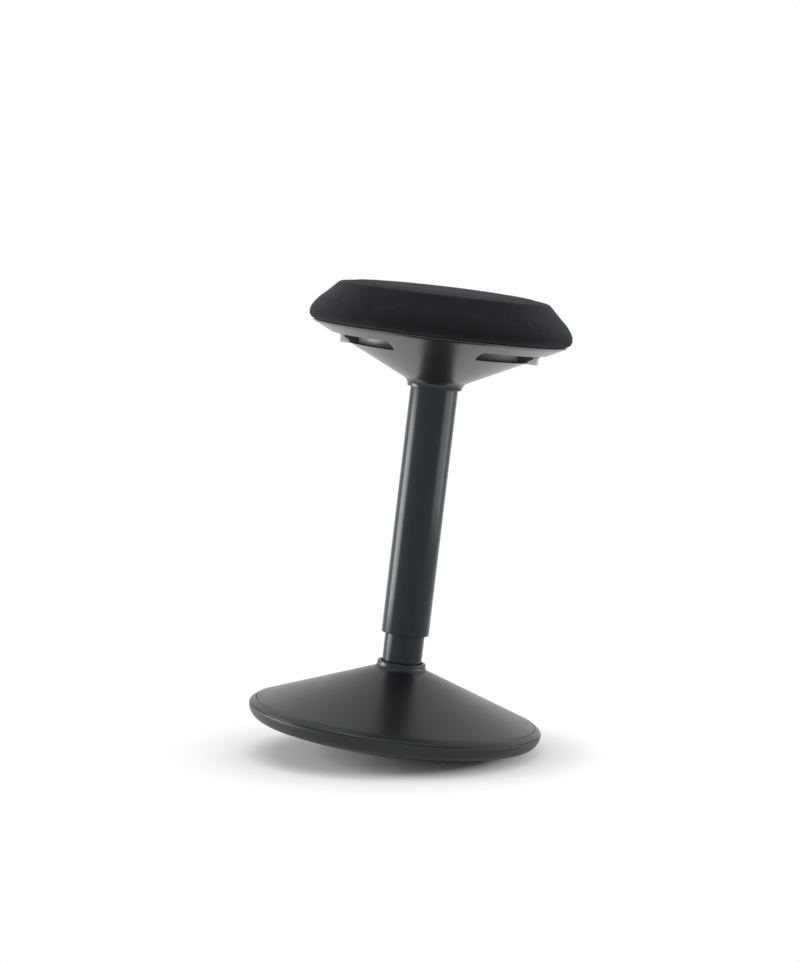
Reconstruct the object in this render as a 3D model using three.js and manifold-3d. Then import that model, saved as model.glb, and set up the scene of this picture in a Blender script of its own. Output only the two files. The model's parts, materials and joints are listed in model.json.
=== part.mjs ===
// Wobble stool: a domed, weighted base, a gas-lift column and a soft three-sided seat.
// Millimetres, +Z up. The origin is the centre of the flat spot that the base rests on.
// The seat's rear corner points along +Y, and one bowed side faces -Y.

import * as THREE from 'three';
import { mergeVertices } from 'three/addons/utils/BufferGeometryUtils.js';
import Module from 'manifold-3d';

const wasm = await Module();
wasm.setup();

// Driving heights: two measured up from the floor, and the seat shell's own depth
const collarTopHeight = 111.4;
const seatNeckHeight = 460.5;
const shellDepth = 70.5;

// Clearances that pieces share
const gap = 0.3;
const cutOverrun = 3;

// Rubber sole: a shallow dome with a round outer edge
const baseRadius = 186;
const domeRadius = 650;
const restRadius = 40;
const soleEdgeRadius = 18;
const soleThickness = 6;
const soleWall = 10;
const creaseRound = 1.2;

// Base pan: a rigid dish inside the sole, with a lip round the cover
const panThickness = 3.5;
const panFloorRadius = 64;
const panFloorRise = 9;
const lipReach = 1;
const lipRise = 5.7;
const lipEdge = 0.9;
const ledgeWidth = 7;

// Base cover: a cone with a collar round the column
const coverThickness = 2.7;
const coverEdgeHeight = 4;
const coverEdgeWidth = 4;
const grooveWidth = 0.6;
const rimInset = 8.7;
const collarWall = 3.95;
const collarClearance = 1.75;
const collarFlare = 5.3;
const collarDepth = 10.2;
const collarRound = 1.4;

// Ballast ring
const ballastInnerRadius = 70;
const ballastOuterRadius = 130;
const ballastTopRise = 8;
const ballastBoltTail = 1;

// Column: fixed tube, gas cylinder and rod
const columnRadius = 25;
const columnWall = 2;
const columnFloor = 4;
const hubHeight = 60;
const hubWall = 8;
const hubFlangeRadius = 62;
const hubFlangeThickness = 6;
const hubShoulder = 8;
const hubShoulderWidth = 7;
const hubFillet = 4;
const cylinderRadius = 14;
const cylinderWall = 1.6;
const glandLength = 12;
const cylinderHeadLength = 14;
const cylinderTaper = 0.8;
const rodRadius = 5;
const rodShoulderWidth = 4;
const rodShoulderHeight = 3;
const rodTail = 5;
const pistonLength = 12;
const pistonRest = 20;
const runningClearance = 0.4;
const stroke = 250;
const raceWidth = 9;
const raceHeight = 2;
const cageHeight = 4;
const cageInset = 1;
const clipWidth = 4.2;
const clipHeight = 1.6;
const bushLength = 60;
const bushFlange = 3;
const columnHeadroom = 12;

// Outer tube that rises with the seat
const outerTubeRadius = 30;
const outerTubeWall = 2;
const outerTubeLap = 16.5;
const fingerGap = 36;
const glideLength = 18;
const glideInset = 1.5;

// Seat plan: three round corners joined by bowed sides
const cornerReach = 45;
const cornerRadius = 126;
const cornerHalfAngle = THREE.MathUtils.degToRad(34);

// Seat shell: a funnel from a round neck to the three-sided rim
const shellLift = 3.6;
const shellNeckRadius = 32.3;
const shellConeRadius = 41.6;
const shellConeRise = 12.5;
const shellRimInset = 6.5;

// Hand slots in the shell: one round the rear corner, and one on each flank, turned rearwards from its corner
const slotHalfAngle = THREE.MathUtils.degToRad(40.3);
const flankSlotTurn = THREE.MathUtils.degToRad(6);
const slotHeight = 11;
const slotBottomDrop = 24.7;
const gripWallShare = 0.508;
const gripWall = 2;
const gripCeilingDrop = 6;
const gripHalfAngle = THREE.MathUtils.degToRad(43);
const gripWindowHalfWidth = 22;

// Seat frame: a socket for the cylinder under a round plate
const socketLength = 39;
const socketFlange = 4;
const socketFlangeHeight = 5.7;
const chamberRadius = 20;
const chamberWall = 7;
const plateRadius = 95;
const plateThickness = 4;

// Release levers, one to each slot, and the valve that they press: the flank levers point to left and right
const flankLeverTurn = THREE.MathUtils.degToRad(30);
const leverPivotRadius = 60;
const leverWidth = 14;
const leverThickness = 6;
const leverBladeThickness = 7.4;
const leverTipThickness = 3;
const leverInnerRadius = 8.8;
const leverElbow = 10;
const leverRiseRun = 18;
const leverTipDrop = 0.8;
const leverSideClearance = 0.8;
const pivotRadius = 1.5;
const pivotHead = 1;
const earThickness = 4;
const earLength = 12;
const earBelowPivot = 6;
const paddleReach = 7.4;
const paddleWidth = 22;
const paddleHeight = 9.9;
const paddleHead = 7.5;
const paddleWall = 2;
const paddleRound = 3;
const paddleDrop = 2.3;
const paddleClearance = 5.6;
const pinRadius = 3.4;
const pinDepth = 12;
const pinRise = 6;
const capRadius = 12;
const capNeckRadius = 6.3;
const capDisc = 4;
const capFoot = 2.8;
const capGrooveClearance = 0.9;

// Cushion: board, foam and knitted cover
const boardThickness = 8;
const boardInset = 6.3;
const fabricThickness = 1.5;
const hemWidth = 17;
const cushionRise = 51.3;
const cushionTopInset = 38;
const cushionCrown = 3.5;

// Fasteners
const boltRadius = 3;
const boltHeadRadius = 5.5;
const boltHeadHeight = 4;
const hubBoltBite = 6;
const boardBoltRadius = 80;
const boardBoltBite = 5.5;
const clipBladeWidth = 14;
const clipBladeThickness = 1.4;
const clipRadius = 112;
const clipFootLength = 16;

// Base collar: each row is a share of its flare, then a share of its depth, from the cone up
const collarShares = [
  [1, 0],
  [0.36, 0.24],
  [0.1, 0.5],
  [0, 0.8],
];

// Steps round the curves
const wideSteps = 48;
const tubeSteps = 24;
const smallSteps = 12;
const domeSteps = 5;
const edgeSteps = 5;
const third = (2 * Math.PI) / 3;
const rearCorner = Math.PI / 2;
const corners = [0, 1, 2].map((i) => rearCorner + i * third);
const sides = corners.map((angle) => angle + third / 2);

// The corners' directions, with the two front ones turned towards the rear
function turnedBack(turn) {
  return corners.map((angle, i) => angle + [0, -turn, turn][i]);
}

const slotAngles = turnedBack(flankSlotTurn);
const leverAngles = turnedBack(flankLeverTurn);

// Side of the cushion, from its hem up to its top edge:
// each row is a share of the top inset, then a share of the rise
const cushionSideShares = [
  [0.242, 0],
  [0.087, 0.049],
  [0, 0.193],
  [0.113, 0.386],
  [0.268, 0.53],
  [0.65, 0.819],
  [0.8, 0.916],
  [0.947, 0.984],
];
const cushionTopShares = [0.965, 0.75, 0.4];

// Shell neck: each row is a share of the spread to the cone, then a share of its rise
const neckShares = [
  [0, 0],
  [0.04, 0.2],
  [0.14, 0.44],
  [0.31, 0.66],
  [0.61, 0.86],
];
const shellConeShares = [0, 0.35, 0.7];

// Looks, one material to each kind of piece
const looks = {
  rubber: { color: 0x26282a, roughness: 0.75, metalness: 0 },
  charcoal: { color: 0x2c2f32, roughness: 0.42, metalness: 0 },
  tube: { color: 0x343a42, roughness: 0.35, metalness: 0.5 },
  steel: { color: 0x9a9da1, roughness: 0.35, metalness: 0.9 },
  iron: { color: 0x4a4b4d, roughness: 0.7, metalness: 0.6 },
  nylon: { color: 0x1d1e20, roughness: 0.55, metalness: 0 },
  offWhite: { color: 0xd9d6cc, roughness: 0.5, metalness: 0 },
  wood: { color: 0xb08a5c, roughness: 0.8, metalness: 0 },
  foam: { color: 0xc9c6b4, roughness: 0.95, metalness: 0 },
  knit: { color: 0x1c1f24, roughness: 0.95, metalness: 0 },
};

// Geometry helpers

function dropFlatTriangles(index) {
  const kept = [];
  for (let i = 0; i < index.length; i += 3) {
    const [a, b, c] = [index[i], index[i + 1], index[i + 2]];
    if (a !== b && b !== c && c !== a) kept.push(a, b, c);
  }
  return kept;
}

function signedVolume(position, index) {
  const corner = [new THREE.Vector3(), new THREE.Vector3(), new THREE.Vector3()];
  let volume = 0;
  for (let i = 0; i < index.length; i += 3) {
    corner.forEach((point, k) => point.fromBufferAttribute(position, index[i + k]));
    volume += corner[0].dot(corner[1].cross(corner[2])) / 6;
  }
  return volume;
}

// Merges shared vertices and turns every face outwards
function closed(geometry) {
  geometry.deleteAttribute('normal');
  geometry.deleteAttribute('uv');
  const merged = mergeVertices(geometry);
  const index = dropFlatTriangles(merged.index.array);
  if (signedVolume(merged.attributes.position, index) < 0) index.reverse();
  merged.setIndex(index);
  return merged;
}

function toManifold(geometry) {
  const mesh = new wasm.Mesh({
    numProp: 3,
    vertProperties: new Float32Array(geometry.attributes.position.array),
    triVerts: new Uint32Array(geometry.index.array),
  });
  return new wasm.Manifold(mesh);
}

function fromManifold(manifold) {
  const mesh = manifold.getMesh();
  const geometry = new THREE.BufferGeometry();
  geometry.setAttribute('position', new THREE.BufferAttribute(mesh.vertProperties, 3));
  geometry.setIndex(Array.from(mesh.triVerts));
  return geometry;
}

function cut(geometry, tools) {
  let result = toManifold(geometry);
  tools.forEach((tool) => {
    result = result.subtract(toManifold(tool));
  });
  return fromManifold(result);
}

function join(geometry, others) {
  let result = toManifold(geometry);
  others.forEach((other) => {
    result = result.add(toManifold(other));
  });
  return fromManifold(result);
}

// Turns a profile of [radius, height] rows round the Z axis
function lathe(profile, steps) {
  const points = profile.map(([radius, height]) => new THREE.Vector2(radius, height));
  points.push(points[0].clone());
  return closed(new THREE.LatheGeometry(points, steps).rotateX(Math.PI / 2));
}

function ring(innerRadius, outerRadius, bottom, top, steps) {
  return lathe(
    [
      [innerRadius, bottom],
      [outerRadius, bottom],
      [outerRadius, top],
      [innerRadius, top],
    ],
    steps,
  );
}

function rod(radius, bottom, top, steps) {
  const geometry = new THREE.CylinderGeometry(radius, radius, top - bottom, steps);
  return closed(geometry.rotateX(Math.PI / 2).translate(0, 0, (bottom + top) / 2));
}

// A block at a radius along a direction, wide across it
function radialBlock(direction, inner, outer, across, bottom, top) {
  const geometry = new THREE.BoxGeometry(outer - inner, across[1] - across[0], top - bottom);
  geometry.translate((inner + outer) / 2, (across[0] + across[1]) / 2, (bottom + top) / 2);
  return closed(geometry.rotateZ(direction));
}

// Extrudes an outline of [radius, height] rows across a direction
function radialPlate(direction, outline, width) {
  const shape = new THREE.Shape(outline.map(([radius, height]) => new THREE.Vector2(radius, height)));
  const geometry = new THREE.ExtrudeGeometry(shape, { depth: width, bevelEnabled: false });
  geometry.rotateX(Math.PI / 2).translate(0, width / 2, 0);
  return closed(geometry.rotateZ(direction));
}

// A pin that lies across a direction
function crossPin(direction, radial, height, radius, length) {
  const geometry = new THREE.CylinderGeometry(radius, radius, length, smallSteps);
  geometry.translate(radial, 0, height);
  return closed(geometry.rotateZ(direction));
}

// Joins rings of equal point counts, with both ends capped or looped back to the first ring
function loft(rings, looped) {
  const count = rings[0].length;
  const points = rings.flat();
  const index = [];
  const bands = looped ? rings.length : rings.length - 1;
  for (let i = 0; i < bands; i += 1) {
    const low = i * count;
    const high = ((i + 1) % rings.length) * count;
    for (let j = 0; j < count; j += 1) {
      const next = (j + 1) % count;
      index.push(low + j, low + next, high + next, low + j, high + next, high + j);
    }
  }
  if (!looped) {
    const last = (rings.length - 1) * count;
    for (let j = 1; j < count - 1; j += 1) {
      index.push(0, j + 1, j, last, last + j, last + j + 1);
    }
  }
  const geometry = new THREE.BufferGeometry();
  geometry.setAttribute('position', new THREE.Float32BufferAttribute(points.flat(), 3));
  geometry.setIndex(index);
  return closed(geometry);
}

// Seat plan

// Where the bowed side's centre lies, and its radius, so that it runs on from the corners
const sideCentre = (cornerReach * Math.sin(cornerHalfAngle)) / Math.sin(third / 2 - cornerHalfAngle);
const sideRadius =
  cornerReach * Math.cos(cornerHalfAngle) + cornerRadius + sideCentre * Math.cos(third / 2 - cornerHalfAngle);

function reachOfArc(centre, radius, angle) {
  return centre * Math.cos(angle) + Math.sqrt(radius ** 2 - (centre * Math.sin(angle)) ** 2);
}

// Distance from the axis to the plan's edge, drawn in by an inset
function planRadius(angle, inset) {
  const turns = Math.round((angle - rearCorner) / third);
  const fromCorner = Math.abs(angle - rearCorner - turns * third);
  const radius = cornerRadius - inset;
  const joinAngle = Math.atan2(
    radius * Math.sin(cornerHalfAngle),
    cornerReach + radius * Math.cos(cornerHalfAngle),
  );
  if (fromCorner <= joinAngle) return reachOfArc(cornerReach, radius, fromCorner);
  return reachOfArc(-sideCentre, sideRadius - inset, third / 2 - fromCorner);
}

// A level ring of points whose distance from the axis is worked out from their angle
function ringAt(radiusAt, height) {
  return Array.from({ length: wideSteps }, (_, i) => {
    const angle = rearCorner + (i * 2 * Math.PI) / wideSteps;
    const radius = radiusAt(angle);
    return [radius * Math.cos(angle), radius * Math.sin(angle), height];
  });
}

function planRing(inset, height, scale = 1) {
  return ringAt((angle) => planRadius(angle, inset) * scale, height);
}

// Base

const domeCentre = Math.sqrt(domeRadius ** 2 - restRadius ** 2);
const edgeCentreRadius = baseRadius - soleEdgeRadius;
const edgeCentreHeight = domeCentre - Math.sqrt((domeRadius - soleEdgeRadius) ** 2 - edgeCentreRadius ** 2);
const edgeSlope = Math.asin(edgeCentreRadius / (domeRadius - soleEdgeRadius));
const panRadius = baseRadius - soleWall;
const soleTop = edgeCentreHeight + creaseRound;
const lipTop = soleTop + gap + lipRise;
const coverRimRadius = baseRadius - rimInset;
const ledgeHeight = lipTop - coverEdgeHeight - gap;
const panFloor = domeHeight(0, soleThickness + gap) + panFloorRise;

// Height of the dome, or of a surface inset into it, at a distance from the axis
function domeHeight(radius, inset) {
  return domeCentre - Math.sqrt((domeRadius - inset) ** 2 - radius ** 2);
}

function domeRows(from, to, inset) {
  return Array.from({ length: domeSteps + 1 }, (_, i) => {
    const radius = from + ((to - from) * i) / domeSteps;
    return [radius, domeHeight(radius, inset)];
  });
}

function rubberSole() {
  const tangentRadius = domeRadius * Math.sin(edgeSlope);
  const rows = [[0, 0], ...domeRows(restRadius, tangentRadius, 0)];
  for (let i = 1; i <= edgeSteps; i += 1) {
    const angle = edgeSlope + ((Math.PI / 2 - edgeSlope) * i) / edgeSteps;
    rows.push([
      edgeCentreRadius + soleEdgeRadius * Math.sin(angle),
      edgeCentreHeight - soleEdgeRadius * Math.cos(angle),
    ]);
  }
  rows.push([baseRadius - creaseRound, soleTop], [panRadius, soleTop]);
  rows.push(...domeRows(panRadius, 0, soleThickness));
  return lathe(rows, wideSteps);
}

function basePan() {
  const outer = panRadius - gap;
  const inner = coverRimRadius + grooveWidth - ledgeWidth - gap;
  const inside = soleThickness + gap + panThickness;
  const lipOuter = baseRadius - lipReach;
  const lipBottom = soleTop + gap;
  const rows = [
    ...domeRows(0, outer, soleThickness + gap),
    [outer, lipBottom],
    [lipOuter, lipBottom],
    [lipOuter, lipBottom + lipEdge],
    [coverRimRadius + grooveWidth, lipTop],
    [coverRimRadius + grooveWidth, ledgeHeight],
    [inner, ledgeHeight],
    ...domeRows(inner, panFloorRadius, inside),
    [panFloorRadius, panFloor],
    [0, panFloor],
  ];
  const hubHoles = corners.map((angle) =>
    boltHole(angle, hubBoltRadius, panFloor - hubBoltBite - gap, panFloor + cutOverrun),
  );
  const ballastHoles = sides.map((angle) => boltHole(angle, ballastBoltRadius, 0, ballastTop));
  return cut(lathe(rows, wideSteps), [...hubHoles, ...ballastHoles]);
}

function baseCover() {
  const bore = columnRadius + collarClearance;
  const collar = bore + collarWall;
  const neck = collarTopHeight - collarDepth;
  const flare = collar + collarFlare;
  const collarRows = collarShares.map(([flareShare, depthShare]) => [
    collar + collarFlare * flareShare,
    neck + collarDepth * depthShare,
  ]);
  const slope = (neck - lipTop) / (coverRimRadius - flare);
  const inner = coverRimRadius - coverEdgeWidth;
  const innerRimHeight = lipTop + slope * coverEdgeWidth - coverThickness;
  const bottom = lipTop - coverEdgeHeight;
  return lathe(
    [
      [inner, bottom],
      [coverRimRadius, bottom],
      [coverRimRadius, lipTop],
      ...collarRows,
      [collar, collarTopHeight - collarRound],
      [collar - collarRound, collarTopHeight],
      [bore, collarTopHeight],
      [bore, neck - coverThickness],
      [flare, neck - coverThickness],
      [inner, innerRimHeight],
    ],
    wideSteps,
  );
}

const ballastTop = domeHeight(ballastOuterRadius, soleThickness + 2 * gap + panThickness) + ballastTopRise;
const ballastBoltRadius = (ballastInnerRadius + ballastOuterRadius) / 2;
const panUnderBolt = domeHeight(ballastBoltRadius, soleThickness + gap);
const ballastBoltBite = ballastTop + gap - panUnderBolt - ballastBoltTail;

function ballastRing() {
  const under = soleThickness + 2 * gap + panThickness;
  const rows = [
    ...domeRows(ballastInnerRadius, ballastOuterRadius, under),
    [ballastOuterRadius, ballastTop],
    [ballastInnerRadius, ballastTop],
  ];
  const holes = sides.map((angle) => boltHole(angle, ballastBoltRadius, 0, ballastTop + cutOverrun));
  return cut(lathe(rows, wideSteps), holes);
}

// Fasteners

function boltHole(direction, radial, bottom, top) {
  const hole = rod(boltRadius + gap, bottom, top, smallSteps);
  return hole.translate(radial * Math.cos(direction), radial * Math.sin(direction), 0);
}

// A round-headed bolt, its shank below the seat of the head, or above it when turned over
function bolt(direction, radial, seat, bite, turnedOver) {
  const sign = turnedOver ? -1 : 1;
  const geometry = lathe(
    [
      [0, seat - sign * bite],
      [boltRadius, seat - sign * bite],
      [boltRadius, seat],
      [boltHeadRadius, seat],
      [boltHeadRadius, seat + sign * boltHeadHeight],
      [0, seat + sign * boltHeadHeight],
    ],
    smallSteps,
  );
  return geometry.translate(radial * Math.cos(direction), radial * Math.sin(direction), 0);
}

// Column

const hubBottom = panFloor + gap;
const hubOuterRadius = columnRadius + gap + hubWall;
const hubBoltRadius = (hubOuterRadius + hubFlangeRadius) / 2;
const columnBottom = hubBottom + hubShoulder + gap;
const lowerRaceBottom = columnBottom + columnFloor + gap;
const cageBottom = lowerRaceBottom + raceHeight + gap;
const upperRaceBottom = cageBottom + cageHeight + gap;
const rodShoulderBottom = upperRaceBottom + raceHeight + gap;
const cylinderBottom = rodShoulderBottom + rodShoulderHeight + rodTail;
const socketTop = seatNeckHeight + outerTubeLap + gap + socketFlangeHeight + socketFlange;
const socketBottom = socketTop - socketLength;
const cylinderTop = socketTop;
const columnTop = socketBottom - columnHeadroom;
const rodBore = rodRadius + gap;
const cylinderBore = cylinderRadius - cylinderWall;
const hubBoltReach = hubFlangeThickness + gap + hubBoltBite;
const pistonBottom = cylinderBottom + glandLength + stroke + pistonRest;

function columnHub() {
  const bore = columnRadius + gap;
  const flangeTop = hubBottom + hubFlangeThickness;
  const hubTop = hubBottom + hubHeight;
  const profile = [
    [bore - hubShoulderWidth, hubBottom],
    [hubFlangeRadius, hubBottom],
    [hubFlangeRadius, flangeTop],
    [hubOuterRadius + hubFillet, flangeTop],
    [hubOuterRadius, flangeTop + hubFillet],
    [hubOuterRadius, hubTop],
    [bore, hubTop],
    [bore, hubBottom + hubShoulder],
    [bore - hubShoulderWidth, hubBottom + hubShoulder],
  ];
  const holes = corners.map((angle) => boltHole(angle, hubBoltRadius, 0, flangeTop + cutOverrun));
  return cut(lathe(profile, tubeSteps), holes);
}

function columnTube() {
  const inner = columnRadius - columnWall;
  return lathe(
    [
      [rodBore, columnBottom],
      [columnRadius, columnBottom],
      [columnRadius, columnTop - bushFlange - gap],
      [inner, columnTop - bushFlange - gap],
      [inner, columnBottom + columnFloor],
      [rodBore, columnBottom + columnFloor],
    ],
    tubeSteps,
  );
}

function guideBush() {
  const inner = cylinderRadius + runningClearance;
  const outer = columnRadius - columnWall - gap;
  return lathe(
    [
      [inner, columnTop - bushLength],
      [outer, columnTop - bushLength],
      [outer, columnTop - bushFlange],
      [columnRadius, columnTop - bushFlange],
      [columnRadius, columnTop],
      [inner, columnTop],
    ],
    tubeSteps,
  );
}

function pistonRod() {
  const shoulder = rodRadius + rodShoulderWidth;
  const shoulderTop = rodShoulderBottom + rodShoulderHeight;
  return lathe(
    [
      [0, columnBottom - rodTail],
      [rodRadius, columnBottom - rodTail],
      [rodRadius, rodShoulderBottom],
      [shoulder, rodShoulderBottom],
      [shoulder, shoulderTop],
      [rodRadius, shoulderTop],
      [rodRadius, pistonBottom + pistonLength],
      [0, pistonBottom + pistonLength],
    ],
    smallSteps,
  );
}

function gasCylinder() {
  const pinBore = pinRadius + gap;
  return lathe(
    [
      [rodBore, cylinderBottom],
      [cylinderRadius, cylinderBottom],
      [cylinderRadius, socketBottom - gap],
      [cylinderRadius - cylinderTaper, cylinderTop],
      [pinBore, cylinderTop],
      [pinBore, cylinderTop - cylinderHeadLength],
      [cylinderBore, cylinderTop - cylinderHeadLength],
      [cylinderBore, cylinderBottom + glandLength],
      [rodBore, cylinderBottom + glandLength],
    ],
    tubeSteps,
  );
}

// Outer tube

const outerTubeTop = seatNeckHeight + outerTubeLap;
const outerTubeBottom = collarTopHeight + fingerGap;
const outerTubeBore = outerTubeRadius - outerTubeWall;

function outerTube() {
  return lathe(
    [
      [outerTubeBore, outerTubeBottom],
      [outerTubeRadius - outerTubeWall / 2, outerTubeBottom],
      [outerTubeRadius, outerTubeBottom + outerTubeWall / 2],
      [outerTubeRadius, outerTubeTop],
      [outerTubeBore, outerTubeTop],
    ],
    tubeSteps,
  );
}

// A plastic sleeve inside the foot of the outer tube, running on the column
function glideRing() {
  const bottom = outerTubeBottom + glideInset;
  return ring(columnRadius + runningClearance, outerTubeBore - gap, bottom, bottom + glideLength, tubeSteps);
}

// Seat shell

const shellRimHeight = seatNeckHeight + shellDepth;
const coneHeight = seatNeckHeight + shellConeRise;
const slotBottom = shellRimHeight - slotBottomDrop;
const slotTop = slotBottom + slotHeight;

// Distance from the axis to the shell's outer face, part of the way from neck to rim
function shellRadius(angle, share) {
  return shellConeRadius + (planRadius(angle, shellRimInset) - shellConeRadius) * share;
}

function shellShareAt(height) {
  return (height - coneHeight) / (shellRimHeight - coneHeight);
}

function shellRing(share, height) {
  return ringAt((angle) => shellRadius(angle, share), height);
}

function roundRing(radius, height) {
  return ringAt(() => radius, height);
}

// A wedge round the axis that cuts one hand slot, with a half round at each end
function slotCutter(direction) {
  const round = slotHeight / 2;
  const middle = slotBottom + round;
  const roundTurn = round / shellRadius(direction + slotHalfAngle, shellShareAt(middle));
  const end = Array.from({ length: edgeSteps + 1 }, (_, i) => {
    const swing = ((Math.PI / 2) * (i + 1)) / (edgeSteps + 1);
    return [slotHalfAngle - roundTurn * (1 - Math.cos(swing)), round * Math.sin(swing)];
  });
  const stations = [
    ...end.map(([turn, half]) => [-turn, half]),
    [-slotHalfAngle / 2, round],
    [0, round],
    [slotHalfAngle / 2, round],
    ...end.toReversed(),
  ];
  const reach = cornerReach + cornerRadius;
  const rings = stations.map(([turn, half]) => {
    const corner = (radius, height) => [
      radius * Math.cos(direction + turn),
      radius * Math.sin(direction + turn),
      height,
    ];
    return [
      corner(leverPivotRadius, middle - half),
      corner(reach, middle - half),
      corner(reach, middle + half),
      corner(leverPivotRadius, middle + half),
    ];
  });
  return loft(rings, false);
}

function seatShell() {
  const rings = [];
  const bore = outerTubeRadius + gap;
  rings.push(roundRing(bore, seatNeckHeight));
  neckShares.forEach(([spreadShare, riseShare]) => {
    const radius = shellNeckRadius + (shellConeRadius - shellNeckRadius) * spreadShare;
    rings.push(roundRing(radius, seatNeckHeight + shellConeRise * riseShare));
  });
  shellConeShares.forEach((share) => {
    rings.push(shellRing(share, coneHeight + (shellRimHeight - coneHeight) * share));
  });
  rings.push(shellRing(1, shellRimHeight));
  const innerRimShare = shellShareAt(shellRimHeight - shellLift);
  rings.push(shellRing(innerRimShare, shellRimHeight));
  shellConeShares.toReversed().forEach((share) => {
    rings.push(shellRing(share, coneHeight + (shellRimHeight - coneHeight) * share + shellLift));
  });
  rings.push(roundRing(bore, coneHeight));
  return cut(loft(rings, true), slotAngles.map(slotCutter));
}

// Wall and ceiling behind a hand slot, open where the lever comes through
function gripLiner(direction, index) {
  const steps = 2 * edgeSteps;
  const ceilingTop = shellRimHeight - gripCeilingDrop;
  const ceilingBottom = ceilingTop - gripWall;
  const lidShare = shellShareAt(ceilingBottom - shellLift);
  const angles = Array.from({ length: steps + 1 }, (_, i) => gripHalfAngle * ((2 * i) / steps - 1));
  const place = (angle, radius) => new THREE.Vector2(radius * Math.cos(angle), radius * Math.sin(angle));
  const wallFace = (angle) => shellRadius(direction + angle, gripWallShare) - gap;
  const inner = angles.map((angle) => place(angle, wallFace(angle) - gripWall));
  const wall = angles.map((angle) => place(angle, wallFace(angle)));
  const edge = angles.map((angle) => place(angle, shellRadius(direction + angle, lidShare) - 2 * gap));
  const strip = (from, to, bottom, top) => {
    const shape = new THREE.Shape([...from, ...to.toReversed()]);
    const geometry = new THREE.ExtrudeGeometry(shape, { depth: top - bottom, bevelEnabled: false });
    return closed(geometry.translate(0, 0, bottom));
  };
  const wallBottom = slotBottom + gap;
  const upright = strip(inner, wall, wallBottom, ceilingTop);
  const ceiling = strip(inner, edge, ceilingBottom, ceilingTop);
  const width = [-gripWindowHalfWidth, gripWindowHalfWidth];
  const turn = leverAngles[index] - direction;
  const reach = cornerReach + cornerRadius;
  const window = radialBlock(turn, leverPivotRadius, reach, width, slotBottom - cutOverrun, slotTop);
  return cut(join(upright, [ceiling]), [window]).rotateZ(direction);
}

// Seat frame

const boardBottom = shellRimHeight + gap + fabricThickness + gap;
const boardTop = boardBottom + boardThickness;
const plateTop = boardBottom - gap;
const plateBottom = plateTop - plateThickness;
const pinTop = cylinderTop + pinRise;
const grooveBottom = pinTop + gap + capFoot;
const pivotHeight = grooveBottom + capGrooveClearance + leverThickness / 2;
const earInner = leverWidth / 2 + leverSideClearance;

function seatFrame() {
  const bore = cylinderRadius + gap;
  const flangeBottom = seatNeckHeight + outerTubeLap + gap;
  const outer = chamberRadius + chamberWall;
  const profile = [
    [bore, socketBottom],
    [outerTubeBore - gap, socketBottom],
    [outerTubeBore - gap, flangeBottom],
    [outerTubeRadius + socketFlange, flangeBottom],
    [outerTubeRadius + socketFlange, flangeBottom + socketFlangeHeight],
    [outer, flangeBottom + socketFlangeHeight + socketFlange],
    [outer, plateBottom],
    [plateRadius, plateBottom],
    [plateRadius, plateTop],
    [chamberRadius, plateTop],
    [chamberRadius, socketTop],
    [bore, socketTop],
  ];
  const ears = leverAngles.flatMap((angle) =>
    [-1, 1].map((side) => {
      const across = [side * earInner, side * (earInner + earThickness)].toSorted((a, b) => a - b);
      const inner = leverPivotRadius - earLength / 2;
      const outerEnd = leverPivotRadius + earLength / 2;
      const top = plateBottom + plateThickness / 2;
      return radialBlock(angle, inner, outerEnd, across, pivotHeight - earBelowPivot, top);
    }),
  );
  const windowHalf = leverWidth / 2 + leverSideClearance;
  const windows = leverAngles.map((angle) =>
    radialBlock(
      angle,
      chamberRadius - cutOverrun,
      outer + cutOverrun,
      [-windowHalf, windowHalf],
      pivotHeight - leverThickness,
      pivotHeight + leverThickness,
    ),
  );
  const length = 2 * (earInner + earThickness + cutOverrun);
  const pinHoles = leverAngles.map((angle) =>
    crossPin(angle, leverPivotRadius, pivotHeight, pivotRadius + gap, length),
  );
  const boltHoles = sides.map((angle) =>
    boltHole(angle, boardBoltRadius, plateBottom - cutOverrun, plateTop + cutOverrun),
  );
  return cut(join(lathe(profile, tubeSteps), ears), [...windows, ...pinHoles, ...boltHoles]);
}

// Levers and valve

const paddleBottom = slotBottom - paddleDrop;
const leverTipMiddle = slotBottom + slotHeight / 2 - leverTipDrop;

// How far a paddle reaches, a little past the shell's skin at the middle of the slot
function paddleTip(direction) {
  return shellRadius(direction, shellShareAt(slotBottom + slotHeight / 2)) + paddleReach;
}

// Distance from the axis to a paddle's inner face, which slopes with the shell and is clear of it when lifted
function paddleSlope(direction, height) {
  return shellRadius(direction, shellShareAt(height)) + paddleClearance;
}

// Height where the sloping face meets the upright head
function paddleHeadFoot(direction) {
  const head = paddleTip(direction) - paddleHead;
  const foot = paddleSlope(direction, coneHeight);
  const spread = paddleSlope(direction, shellRimHeight) - foot;
  return coneHeight + ((head - foot) / spread) * (shellRimHeight - coneHeight);
}

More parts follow.
